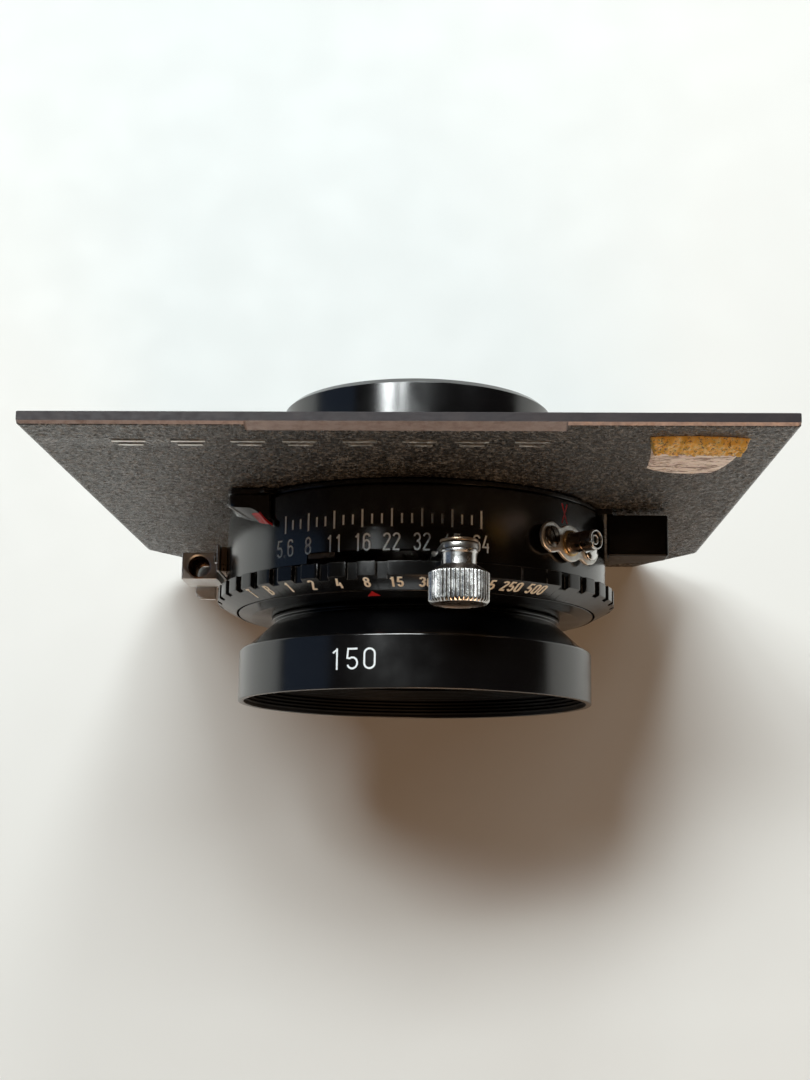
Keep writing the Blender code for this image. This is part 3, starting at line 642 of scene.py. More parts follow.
def make_board():
    low_z = BOARD_LOW[2]
    high_x, _, high_z = BOARD_HIGH
    corner, corner_inset = 14.4, 9.3
    near = [0.0, 0.12, 0.24, 0.36, 0.5, 0.65]
    latch, latch_depth, latch_top = 19.8, 0.4, 3.2
    step = 0.31
    hole_r, rough_hole_r, rear_chamfer = 17.2, 17.0, 0.12
    inside = high_x - near[-1]
    middles = sorted(set([round(v, 3) for v in spread(-inside, inside, round(2 * inside / step))]))
    middles = [v for v in middles if abs(abs(v) - latch) > 0.2]
    middles = sorted(middles + [-latch - 0.04, -latch + 0.04, latch - 0.04, latch + 0.04])
    rows = [low_z + d for d in near[:-1]] + spread(low_z + near[-1], high_z - near[-1], 316)
    rows += [high_z - d for d in near[-2::-1]]

    def half_width(z):
        return high_x - corner_inset * max(0.0, 1.0 - (z - low_z) / corner)

    shape = bmesh.new()
    grid = []
    for z in rows:
        half = half_width(z)
        xs = [-half + d for d in near[:-1]]
        xs += [v * (half - near[-1]) / inside for v in middles]
        xs += [half - d for d in near[-2::-1]]
        line = []
        marks = 0.75 * smoothstep(45.2, 45.9, z) * smoothstep(49.6, 48.9, z)
        for x in xs:
            side = half - abs(x)
            top, bottom = high_z - z, z - low_z
            grain = 0.12 * noise.noise(Vector((x * 1.5, z * 1.5, 3.0)))
            grain += 0.11 * noise.noise(Vector((x * 2.9, z * 2.9, 9.0)))
            grain *= 1.0 - marks * smoothstep(20.0, 19.0, x)
            depth = max(0.0, 0.5 - top) + 0.6 * max(0.0, 0.3 - min(side, bottom))
            grain *= smoothstep(0.25, 0.8, min(side, top, bottom))
            if abs(x) < latch and top < latch_top:
                depth = max(latch_depth * (1.0 - top / latch_top) + 0.12, depth)
                grain *= 0.15
            line.append(shape.verts.new((x, BOARD_FRONT + depth + grain, z)))
        grid.append(line)
    for face in skin_grid(shape, grid):
        spot = face.calc_center_median()
        top = high_z - spot.z
        ragged = 0.09 * noise.noise(Vector((spot.x * 0.9, spot.z * 3.0, 1.0)))
        if top < 0.36 + 0.1 * ragged or abs(spot.x) < latch and top < latch_top + ragged:
            face.material_index = 1
        if spot.x * spot.x + spot.z * spot.z < rough_hole_r ** 2:
            shape.faces.remove(face)
    loose = [v for v in shape.verts if not v.link_faces]
    bmesh.ops.delete(shape, geom=loose, context="VERTS")
    # Pull the ragged inner rim onto the round hole.
    for v in shape.verts:
        reach = math.hypot(v.co.x, v.co.z)
        if v.is_boundary and reach < 25.0:
            v.co.x *= hole_r / reach
            v.co.z *= hole_r / reach
    fresh, edges = grow_rim(shape, [e for e in shape.edges if e.is_boundary])
    for v in fresh:
        v.co.y = -rear_chamfer
    back, edges = grow_rim(shape, edges)
    for v in back:
        v.co.y = 0.0
        if math.hypot(v.co.x, v.co.z) > 25.0:
            if half_width(v.co.z) - abs(v.co.x) < 0.2:
                v.co.x -= math.copysign(rear_chamfer, v.co.x)
            if high_z - v.co.z < 0.05:
                v.co.z -= rear_chamfer
            if v.co.z - low_z < 0.05:
                v.co.z += rear_chamfer
    bmesh.ops.triangle_fill(shape, use_beauty=True, edges=edges)
    for face in shape.faces:
        spot = face.calc_center_median()
        if spot.z > high_z - 0.2 and spot.y > BOARD_FRONT + 0.52:
            face.material_index = 2
    looks = [CRACKLE, MILLED, EDGE_PAINT]
    settle("lens_board_body", shape, looks, ROOT, "lens_board", 40.0)
    trap = [(38.5, -0.1), (41.0, -0.1), (41.0, 1.8, 0.3), (38.5, 1.8, 0.3)]
    settle("light_trap_rim", lathe(trap), BLACK, ROOT)


def make_board_marks():
    """Plain raised dashes where the board has its raised word."""
    bars = []
    for k in range(8):
        centre = -35.3 + 7.31 * k + 0.35 * (k % 3 - 1)
        for row, (foot, length) in enumerate(((47.8, 4.4), (46.0, 3.2))):
            left, right = centre - 0.5 * length, centre + 0.5 * length
            corners = ((left, foot), (right, foot), (right, foot + 0.7), (left, foot + 0.7))
            outline = rounded([(*corner, 0.15) for corner in corners])
            bars.append(prism(outline, (BOARD_FRONT + 0.05, BOARD_FRONT - 0.11 - 0.002 * row)))
    settle("board_dashes", merge(bars), NICKEL, ROOT)


LABEL_LEFT = (Vector((31.9, 34.4)), Vector((30.3, 50.9)))
LABEL_RIGHT = (Vector((40.6, 32.4)), Vector((43.0, 50.3)))


def make_label():
    """Torn gummed label: crusty glue along its top, streaked paper below."""
    crust = Look("glue_crust", (0.92, 0.5, 0.06), 0.35)
    crust.stain((0.9, 5.0, 0.75), (0.5, 0.6, 1.0), (1.0, 0.85, 0.4))
    crust.stain((0.45, 4.0, 0.75), (0.53, 0.6, 1.0), (0.2, 0.08, 0.01))
    crust.set("Subsurface Weight", 0.15)
    crust.bump(crust.noise(0.35, 4.0, 0.7), 0.12, 0.9)
    sheet = Look("streaked_paper", (0.98, 0.96, 0.95), 0.6)
    streak = sheet.noise(1.3, 5.0, 0.75, (0.28, 1.0, 1.35), 1.0)
    sheet.tint(sheet.ramp(streak, 0.49, 0.55), (0.2, 0.13, 0.11))
    sheet.stain((0.8, 4.0, 0.7, (0.35, 1.0, 1.2)), (0.54, 0.6, 1.0), (0.9, 0.82, 0.84))
    sheet.stain((0.35, 3.0, 0.7), (0.6, 0.7, 0.7), (0.8, 0.72, 0.36))
    sheet.rough(sheet.noise(0.7, 3.0), 0.35, 0.75)
    sheet.bump(streak, 0.1, 0.8)
    wide, tall = 96, 72
    shape = bmesh.new()
    rows = []
    for j in range(tall + 1):
        t = j / tall
        row = []
        for i in range(wide + 1):
            s = i / wide
            left = LABEL_LEFT[0].lerp(LABEL_LEFT[1], t)
            left.x += 0.35 * math.sin(math.pi * t) + 0.12 * noise.noise(Vector((4.0, t * 14.0, 0.0)))
            right = LABEL_RIGHT[0].lerp(LABEL_RIGHT[1], t)
            right.x += 3.0 * math.sqrt(max(0.0, t * (1.0 - t))) * (1.0 - t) ** 0.6
            right.x += 0.16 * noise.noise(Vector((9.0, t * 17.0, 0.0)))
            spot = left.lerp(right, s)
            spot.y -= (1.0 - t) * 7.5 * s * (1.0 - s)
            spot.y += t * 3.2 * s * (1.0 - s) * (1.0 + 0.25 * noise.noise(Vector((s * 9.0, 3.0, 0.0))))
            rim = min(s, 1.0 - s, t, 1.0 - t)
            high = 0.14 + 0.10 * noise.noise(Vector((spot.x * 0.35, spot.y * 0.9, 2.0)))
            high += 0.08 * noise.noise(Vector((spot.x * 0.8, spot.y * 2.2, 5.0)))
            band = smoothstep(0.63, 0.70, t + 0.03 * noise.noise(Vector((spot.x * 0.7, 0.0, 7.0))))
            lump = 0.75 + 0.5 * noise.noise(Vector((spot.x * 0.9, spot.y * 0.9, 4.0)))
            lump += 0.3 * noise.noise(Vector((spot.x * 2.2, spot.y * 2.2, 6.0)))
            high += band * lump
            high = max(high, 0.05) * smoothstep(0.0, 0.04, rim) + 0.04
            row.append(shape.verts.new((spot.x, BOARD_FRONT - high, spot.y)))
        rows.append(row)
    for k, face in enumerate(skin_grid(shape, rows)):
        ragged = 0.03 * noise.noise(Vector((face.calc_center_median().x * 0.9, 0.0, 8.0)))
        face.material_index = 1 if (k // wide + 0.5) / tall + ragged < 0.645 else 0
    foot, edges = grow_rim(shape, [e for e in shape.edges if e.is_boundary])
    for v in foot:
        v.co.y = BOARD_FRONT - 0.01
        for side in v.link_faces:
            side.material_index = 2
    bmesh.ops.triangle_fill(shape, use_beauty=True, edges=edges)
    burnt = Look("dark_glue", (0.05, 0.022, 0.008), 0.35)
    burnt.stain((0.6, 4.0, 0.75), (0.5, 0.62, 1.0), (0.22, 0.09, 0.015))
    burnt.bump(burnt.noise(0.35, 4.0, 0.7), 0.12, 0.9)
    looks = [crust.material, sheet.material, burnt.material]
    settle("torn_paper_label", shape, looks, ROOT, "torn_label", 60.0)


# Shutter housing and its scale

STOPS = ("5.6", "8", "11", "16", "22", "32", "45", "64")
STOP_PITCH = 8.19
FIRST_STOP = -37.9


def make_housing():
    slot_from, slot_to = -30.0, 18.0
    angles = spread(-180.0, 180.0 - 360.0 / FINE, FINE - 1)
    for a in (slot_from, slot_to):
        angles = [b for b in angles if abs(b - a) > 0.6] + [a - 0.08, a + 0.08]
    sections = []
    for angle in sorted(angles):
        front = -12.1 if slot_from < angle < slot_to else HOUSING_FRONT
        outline = [(14.9, 2.0), (16.2, 2.0, 0.2), (16.2, -1.85), (18.4, -1.85), (18.4, HOUSING_REAR)]
        outline += [(HOUSING_R, HOUSING_REAR, 0.42), (HOUSING_R, front, 0.12), (28.1, front)]
        outline += [(28.1, -3.5), (14.9, -3.5)]
        sections.append((angle, rounded(outline, 4)))
    piece = settle("shutter_housing_shell", loft(sections), BLACK, ROOT, "shutter_housing")
    window = [(26.3, -11.25), (32.3, -11.25), (32.3, -12.3), (26.3, -12.3)]
    cut(piece, loft([(a, window) for a in spread(-122.0, -93.0, 24)], closed=False))
    for k in range(3):
        start = -110.0 + 120.0 * k
        span = spread(start - 4.5, start + 65.3, 48)
        groove = [(22.0, -1.0), (24.4, -1.0), (24.4, -5.0), (22.0, -5.0)]
        cut(piece, loft([(a, groove) for a in span], closed=False))
    shapes = []

    def tick(angle, foot, length):
        line = [([(0.0, 0.0), (0.0, length)], False)]
        shapes.append(draw(line, 0.13, on_cylinder(HOUSING_R, angle, foot), 0.02))

    for k, text in enumerate(STOPS):
        angle = FIRST_STOP + STOP_PITCH * k
        strokes = lettering(text, 2.5, 1.08, 0.235, 0.26)
        shapes.append(draw(strokes, 0.122, on_cylinder(HOUSING_R, angle, -12.22), 0.02))
        tick(angle, -8.85, 2.55)
        if k < len(STOPS) - 1:
            tick(angle + 1.0 / 3.0 * STOP_PITCH, -8.4, 1.4)
            tick(angle + 2.0 / 3.0 * STOP_PITCH, -8.4, 1.4)
    settle("aperture_scale", merge(shapes), WHITE_MARK, ROOT)
    cross = lettering("X", 2.9, 1.5, 0.3, 0.0)
    settle("flash_sync_mark", draw(cross, 0.15, on_cylinder(HOUSING_R, 48.2, -6.4), 0.02), RED_MARK, ROOT)


# Speed ring

SPEEDS = ("T", "B", "1", "2", "4", "8", "15", "30", "60", "125", "250", "500")
SPEED_PITCH = 8.08
FIRST_SPEED = -52.2
NOTCH_COUNT = 39
FIRST_NOTCH = 45.3
LAST_NOTCH = 352.6


def make_speed_ring():
    pitch = (LAST_NOTCH - FIRST_NOTCH) / (NOTCH_COUNT - 1)
    half, wall = 0.17 * pitch, 0.022 * pitch
    depth = 0.72
    samples = []
    for k in range(NOTCH_COUNT):
        centre = FIRST_NOTCH + pitch * k
        samples += [(centre - half - 2.2 * wall, 0.0), (centre - half - wall, 0.06), (centre - half, 1.0)]
        samples += [(centre, 1.0), (centre + half, 1.0), (centre + half + wall, 0.06)]
        samples += [(centre + half + 2.2 * wall, 0.0)]
        if k < NOTCH_COUNT - 1:
            samples += [(a, 0.0) for a in spread(centre + half, centre + pitch - half, 4)[1:-1]]
    start = LAST_NOTCH + half + 2.2 * wall
    end = FIRST_NOTCH - half - 2.2 * wall + 360.0
    samples += [(angle, 0.0) for angle in spread(start, end, 40)[1:-1]]
    for line in (30.3, 38.5):
        for offset, share in ((-0.22, 0.0), (-0.1, 0.22), (0.1, 0.22), (0.22, 0.0)):
            samples.append((line + offset + 360.0, share))
    samples.sort()
    slope = (RING_EDGE - CONE_FRONT) / (RING_R - CONE_R)
    sections = []
    for angle, share in samples:
        rim = RING_R - depth * share
        edge = RING_EDGE - slope * (RING_R - rim)
        outline = [(CONE_R, RING_REAR), (rim, RING_REAR, 0.12), (rim, edge, 0.1), (CONE_R, CONE_FRONT, 0.08)]
        sections.append((angle, rounded(outline, 3)))
    settle("speed_ring_body", loft(sections), RING_BLACK, "speed_dial", "speed_ring", 28.0)
    shapes = []
    for k, text in enumerate(SPEEDS):
        angle = FIRST_SPEED + SPEED_PITCH * k
        strokes = lettering(text, 2.2, 0.92, 0.29, 0.17)
        shapes.append(draw(strokes, 0.165, on_cone(angle, 0.8), 0.02))
    settle("speed_numerals", merge(shapes), CREAM_MARK, "speed_dial")


def make_front_plates():
    cover = [(18.6, -17.35), (25.0, -17.35), (26.0, -16.8), (27.3, -16.8), (27.3, -17.5, 0.1)]
    cover += [(25.3, -18.15, 0.2), (18.6, -18.15, 0.1)]
    settle("front_cover", lathe(cover), RING_BLACK, ROOT, "front_cover_plate")
    lock = [(16.35, -17.3), (18.4, -17.3), (18.4, -18.0, 0.15), (16.35, -18.0, 0.1)]
    settle("cover_lock", lathe(lock, 128), SATIN, ROOT, "cover_lock_ring")
    along = Vector((2.0, -0.65)).normalized()

    def on_cover(across, up, height):
        spot = Vector((25.3, -18.15)) + Vector((along.x, -along.y)) * up
        x, z = polar(spot.x, -11.4 + math.degrees(across / 26.5))
        return x, spot.y - height, z

    shape = bmesh.new()
    corners = ((-0.95, 0.55), (0.95, 0.55), (0.0, 2.02))
    ends = [[shape.verts.new(on_cover(a, u, h)) for a, u in corners] for h in (-0.05, 0.025)]
    skin_rings(shape, ends, False)
    settle("speed_index", shape, RED_MARK, ROOT)


# Lens cells


def make_cells():
    barrel = [(12.9, -9.2), (14.6, -9.2), (14.6, -18.3), (22.2, -18.3, 0.12), (22.35, -18.75, 0.1)]
    barrel += [(21.7, -19.0, 0.05), (22.0, -19.25, 0.05), (26.2, -23.05, 0.05), (26.2, -24.6)]
    barrel += [(25.0, -24.6), (25.0, -26.6), (20.2, -26.6, 0.1), (20.2, -20.6), (12.9, -20.0)]
    settle("front_barrel_body", lathe(barrel, 256), SATIN, ROOT, "front_barrel")
    thread = []
    y = -27.9
    while y > -30.5:
        thread += [(25.82, y), (26.04, y - 0.28)]
        y -= 0.56
    ring = [(26.35, -23.05), (26.55, -23.05), (27.0, -23.35, 0.45), (27.0, -30.93, 0.12)]
    ring += [(26.2, -30.93, 0.12), (26.05, -30.6)]
    ring += thread[::-1] + [(25.9, -27.6), (25.15, -27.2, 0.1), (25.15, -24.75), (26.35, -24.75)]
    piece = settle("filter_ring", lathe(ring, 256), [SATIN, INNER_BLACK], ROOT, "front_ring")
    repaint(piece, lambda spot: math.hypot(spot.x, spot.z) < 26.15)
    name_ring = [(18.9, -26.75), (25.0, -26.75), (25.0, -28.1, 0.08)]
    name_ring += [(24.2, -28.1, 0.08), (24.1, -27.95)]
    for k in range(6):
        r = 23.8 - 0.8 * k
        name_ring += [(r, -27.95 + 0.15 * k), (r - 0.1, -27.82 + 0.15 * k), (r - 0.4, -27.85 + 0.15 * k)]
    name_ring += [(18.9, -27.05, 0.05)]
    settle("front_element_ring", lathe(name_ring, 192), INNER_BLACK, ROOT, "front_glass_ring")
    strokes = lettering("150", 3.0, 1.75, 0.26, 0.75)
    settle("focal_length_mark", draw(strokes, 0.13, on_cylinder(27.0, -17.2, -28.35), 0.02), WHITE_MARK, ROOT)
    rear = [(12.9, -2.7), (14.6, -2.7), (14.6, 2.3), (21.0, 2.3, 0.2), (21.0, 14.35, 0.15)]
    rear += [(20.2, 15.1, 0.15), (19.2, 15.1, 0.1), (18.4, 12.4), (17.2, 12.4), (17.2, 6.4), (12.9, 5.8)]
    settle("rear_barrel_body", lathe(rear, 192), SATIN, ROOT, "rear_barrel")
    rear_ring = [(15.4, 12.6), (18.3, 12.6), (18.7, 14.0, 0.1), (17.9, 14.0), (17.7, 13.7), (17.2, 13.75)]
    rear_ring += [(16.9, 14.0, 0.1)]
    settle("rear_element_ring", lathe(rear_ring, 128), INNER_BLACK, ROOT, "rear_glass_ring")
    element("front_group", 20.0, (-21.0, -1.6), (-24.4, 2.15), FRONT_GLASS, "front_element")
    element("front_inner_group", 12.7, (-10.2, -1.4), (-16.8, 1.4), FRONT_GLASS, "front_inner_element")
    element("rear_group", 17.0, (12.2, 0.0), (7.2, 0.6), REAR_GLASS, "rear_element")
    element("rear_inner_group", 12.7, (4.6, 0.6), (-1.2, 0.9), REAR_GLASS, "rear_inner_element")


def element(name, radius, rear, front, material, node):
    """A polished glass group with spherical faces."""
    outline = [(radius * s, -(rear[0] + rear[1] * (1.0 - s * s))) for s in spread(0.0, 1.0, 16)]
    outline += [(radius * s, -(front[0] - front[1] * (1.0 - s * s))) for s in spread(1.0, 0.0, 16)]
    shape = stand(turned(outline, 128), (0.0, 0.0, 0.0), FORWARD)
    settle(name, shape, material, ROOT, node, 40.0)


def make_retaining_ring():
    sections = []
    angles = sorted(set(spread(0.0, 358.0, 179) + [86.0, 86.2, 93.8, 266.2, 273.8, 274.2]))
    for angle in angles:
        notched = min(abs(angle - 90.0), abs(angle - 270.0)) < 3.9
        rear = 1.0 if notched else 1.75
        outline = [(16.4, 0.15), (20.6, 0.15, 0.05), (20.6, rear, 0.15), (16.4, rear, 0.15)]
        sections.append((angle, rounded(outline, 3)))
    settle("board_jam_nut", loft(sections), SATIN, ROOT, "retaining_ring")


# Aperture levers


def make_aperture_control():
    spans = ((-64.8, -43.6), (74.0, 88.0))
    plate_r, tab_r = 28.9, 31.0

    def corner(angle):
        """Distance to the outside of the pointer's squared end."""
        side = 26.9 / max(abs(math.sin(math.radians(angle))), 0.2)
        top = 21.6 / max(math.cos(math.radians(angle)), 0.2)
        return (side ** -28 + top ** -28) ** (-1.0 / 28.0)

    def rim(angle):
        inside = 0.0
        for start, end in spans:
            past = smoothstep(end, end + 0.4, angle)
            inside = max(inside, smoothstep(start - 0.4, start, angle) * (1.0 - past))
        lobe = max(tab_r, corner(angle)) if angle < 0.0 else tab_r
        return plate_r + (lobe - plate_r) * inside

    angles = spread(-180.0, 179.0, 240)
    for start, end in spans:
        angles += [start - 0.4, start - 0.2, start, end, end + 0.2, end + 0.4]
    sections = []
    for angle in sorted(set(angles)):
        outline = [(18.7, -1.95), (rim(angle), -1.95, 0.1), (rim(angle), -2.6, 0.1), (18.7, -2.6)]
        sections.append((angle, rounded(outline, 3)))
    settle("aperture_ring_plate", loft(sections), BLACK, "aperture_control", "aperture_ring")

    inner = HOUSING_R + 0.35

    def pointer_slope(angle):
        """The y of the pointer's foot and of its ridge at this angle."""
        share = (angle + 64.8) / 23.4
        foot = -4.2 - 3.5 * share ** 1.1
        return foot, -3.3 - 1.3 * smoothstep(0.0, 0.72, share) - 2.9 * smoothstep(0.72, 1.0, share)

    sections = []
    for angle in spread(-64.8, -41.4, 46):
        outer = max(corner(angle), inner + 0.18)
        foot, ridge = pointer_slope(angle)
        rear = -2.75 if angle < -43.6 else ridge + 0.9
        outline = [(inner, rear), (outer, rear, 0.25), (outer, ridge, 0.3), (inner, foot, 0.05)]
        sections.append((angle, rounded(outline, 3)))
    lever = loft(sections, closed=False)
    settle("aperture_pointer", lever, BLACK, "aperture_control", "aperture_index_lever", 30.0)

    shape = bmesh.new()
    rows = []
    for share in spread(0.0, 1.0, 10):
        angle = -48.0 + 5.8 * share
        low_r = inner + 0.12
        high_r = low_r + 1.35 * (1.0 - share) ** 0.6 + 0.1
        foot, ridge = pointer_slope(angle)
        side = 26.9 / abs(math.sin(math.radians(angle)))
        top = 21.6 / math.cos(math.radians(angle))
        full = max(min(side, top), inner + 0.18)
        row = []
        for radius, lift in ((low_r, 0.05), (high_r, 0.05), (high_r, -0.3), (low_r, -0.3)):
            part = (radius - inner) / (full - inner)
            x, z = polar(radius, angle)
            row.append(shape.verts.new((x, foot + (ridge - foot) * min(part, 1.0) - lift, z)))
        rows.append(row)
    skin_rings(shape, rows, False)
    settle("aperture_pointer_mark", shape, RED_MARK, "aperture_control")

    fin = [(29.0, 8.6), (38.2, 8.6, 0.6), (38.2, 4.6, 0.8), (36.9, 3.5, 1.5), (33.8, 2.4, 2.5)]
    fin += [(31.2, 0.9, 1.0), (29.85, -0.8, 0.3), (29.85, 1.0), (29.25, 5.0)]
    shape = prism(rounded(fin, 6), (-2.75, -9.0))
    node = "aperture_second_lever"
    piece = settle("aperture_side_lever", shape, LEVER_BLACK, "aperture_control", node)
    soften(piece, 0.35, 3)


# Cocking lever and knob


def make_cocking():
    knob_angle = 11.0
    knob_r, tab_r = 35.0, 29.5
    half = 5.3
    kx, kz = polar(knob_r, knob_angle)

    def reach(angle):
        """Outer radius of the arm: a disc, a short tab in its slot, and a round pad under the knob."""
        off = abs(angle - knob_angle)
        if off > half:
            return 21.0
        if off >= 4.2:
            return tab_r
        pad = knob_r + 2.45 * math.sqrt(1.0 - (off / 4.25) ** 2) - tab_r
        return tab_r + pad * smoothstep(4.25, 3.9, off)

    angles = [a for a in spread(-180.0, 178.0, 179) if abs(a - knob_angle) > half + 0.4]
    angles += [knob_angle + v for v in spread(-half - 0.15, half + 0.15, 60)]
    sections = []
    for angle in sorted(angles):
        far = reach(angle)
        outline = [(16.6, -12.3, 0.1), (far, -12.3, 0.12), (far, -13.1, 0.12), (16.6, -13.1, 0.1)]
        sections.append((angle, rounded(outline, 2)))
    settle("cocking_arm", loft(sections), STEEL, "cocking_control", "cocking_lever", 35.0)
    flutes = 40

    def knurl(radius, height, turn):
        if radius < 3.95 or height < 3.05 or height > 6.9:
            return radius
        wave = 0.5 + 0.5 * math.cos(flutes * turn)
        return radius - 0.24 * (1.0 - wave ** 0.6)

    neck = [(0.0, 0.0), (2.6, 0.0, 0.08), (2.6, 0.35, 0.1), (2.42, 0.5, 0.1), (2.42, 2.0, 0.05)]
    neck += [(2.55, 2.15, 0.05), (2.9, 2.28), (3.85, 2.95, 0.1), (4.1, 3.07, 0.05), (4.1, 3.3)]
    neck += [(4.1, 6.72), (4.1, 6.85), (3.72, 7.28, 0.12), (3.35, 7.3, 0.1), (3.1, 7.08, 0.1)]
    neck += [(0.0, 6.98)]
    shape = stand(turned(neck, flutes * 8, knurl), (kx, -13.2, kz), FORWARD)
    looks = [KNOB_PLATING, bright_metal("knob_end", (0.2, 0.17, 0.15), 0.3, None, 0.4)]
    knob = settle("cocking_knob_body", shape, looks, "cocking_control", "cocking_knob", 40.0)

    def dull(spot):
        """The end face inside its rim, and the cone below the flutes."""
        depth = -13.2 - spot.y
        return 2.1 < depth < 3.0 or depth > 6.9 and math.hypot(spot.x - kx, spot.z - kz) < 3.3

    repaint(knob, dull)
    rivet = [(0.0, -0.62), (1.9, -0.6, 0.1), (2.6, -0.42, 0.1), (2.6, -0.05, 0.1), (2.1, 0.0), (0.0, 0.0)]
    shape = stand(turned(rivet, 64), (kx, -12.2, kz), FORWARD)
    settle("cocking_knob_flange", shape, TARNISHED, "cocking_control", "cocking_knob_rivet")


def make_blade_open_lever():
    centre = -24.5
    angles = spread(centre - 14.0, centre - 4.4, 12)
    angles += [centre - 4.15] + spread(centre - 4.0, centre + 4.0, 12)
    sections = []
    for angle in angles:
        far = 30.1 if abs(angle - centre) <= 4.01 else 27.7
        outline = [(21.4, -12.3), (far, -12.3, 0.1), (far, -13.1, 0.1), (21.4, -13.1)]
        sections.append((angle, rounded(outline, 2)))
    tab = bright_metal("press_focus_steel", (0.12, 0.085, 0.06), 0.32, None, 0.3)
    settle("press_focus_tab", loft(sections, False), tab, "blade_open_control", "blade_open_lever")


# Flash terminal and cable socket


SYNC_ANGLE = 48.2
SYNC_Y = -9.4
SYNC_TILT = 4.9
SYNC_REACH = 4.45


def make_sync_terminal():
    turn = outward(SYNC_ANGLE) @ Matrix.Rotation(math.radians(-SYNC_TILT), 3, "Z")
    radial = turn @ Vector((0.0, 0.0, 1.0))
    along = turn @ Vector((1.0, 0.0, 0.0))
    base = Vector((0.0, SYNC_Y, 0.0)) + radial * HOUSING_R

    def at(height, side=0.0):
        return base + radial * height + along * side

    def half_height(s):
        lobes = []
        for centre, radius in ((0.0, 2.6), (-SYNC_REACH, 2.1), (SYNC_REACH, 2.1)):
            inside = radius * radius - (s - centre) ** 2
            lobes.append(math.sqrt(inside) if inside > 0.0 else 0.0)
        waist = 1.8 if abs(s) < SYNC_REACH else 0.0
        return (sum(v ** 5 for v in lobes) + waist ** 5) ** 0.2

    end = SYNC_REACH + 2.1
    span = [-end + 0.003, -end + 0.03, -end + 0.1, -end + 0.25]
    span += spread(-end + 0.45, end - 0.45, 70) + [end - 0.25, end - 0.1, end - 0.03, end - 0.003]
    outline = [(s, half_height(s)) for s in span]
    outline += [(s, -half_height(s)) for s in reversed(span)]
    shape = bmesh.new()
    ends = [[shape.verts.new((s, t, h)) for s, t in outline] for h in (0.5, 1.1)]
    skin_rings(shape, ends, False)
    shape = stand(shape, base, turn)
    flange = settle("flash_terminal_flange", shape, NICKEL, ROOT, "sync_flange", 40.0)
    soften(flange, 0.16, 2, 50.0)
    dark_head = bright_metal("dark_screw", (0.16, 0.14, 0.12), 0.22, None, 0.4)
    for k, (side, finish) in enumerate(((-SYNC_REACH, dark_head), (SYNC_REACH, CHROME))):
        head = [(0.0, 0.9), (1.5, 0.9), (1.55, 1.1, 0.05), (1.45, 1.4, 0.15), (0.9, 1.55, 0.2), (0.0, 1.6)]
        shape = stand(turned(head, 48), at(0.15, side), turn)
        screw = settle(f"flash_flange_screw_{k + 1}", shape, finish, ROOT, f"sync_screw_{k + 1}")
        slot = saw_cut((0.34, 5.0, 1.0))
        slot.transform(Matrix.Rotation(math.radians(35.0 + 80.0 * k), 4, "Z"))
        cut(screw, stand(slot, at(1.95, side), turn))
    barrel = [(1.12, 0.3), (1.6, 0.3, 0.05), (1.6, 0.7), (1.9, 0.8, 0.05), (1.9, 1.3, 0.15)]
    barrel += [(1.6, 1.45, 0.05), (1.46, 1.6), (1.46, 3.6, 0.03), (1.4, 3.66), (1.4, 3.8)]
    barrel += [(1.46, 3.86, 0.03), (1.46, 5.4, 0.1), (1.38, 5.7, 0.06), (1.2, 5.7, 0.06), (1.12, 5.4)]
    collar = bright_metal("terminal_collar", (0.5, 0.36, 0.18), 0.3)
    sleeve = bright_metal("terminal_sleeve", (0.2, 0.16, 0.13), 0.26, None, 0.3)
    shape = stand(turned(barrel, 72), at(0.0), turn)
    looks = [SATIN_CHROME, collar, sleeve]
    piece = settle("flash_terminal_barrel", shape, looks, ROOT, "sync_barrel")
    for face in piece.data.polygons:
        height = (face.center / MM - at(0.0)).dot(radial)
        face.material_index = 1 if height < 1.5 else (2 if height < 5.3 else 0)
    tube = [(0.82, 0.35), (1.08, 0.35), (1.08, 4.6, 0.05), (0.82, 4.6, 0.05)]
    shape = stand(turned(tube, 48), at(0.0), turn)
    settle("flash_terminal_insulator", shape, NYLON, ROOT, "sync_insulator")
    pin = [(0.5, 0.4), (0.78, 0.4), (0.78, 5.45, 0.08), (0.55, 5.5, 0.08), (0.5, 5.2)]
    shape = stand(turned(pin, 40), at(0.0), turn)
    settle("flash_terminal_contact", shape, SATIN_CHROME, ROOT, "sync_contact")


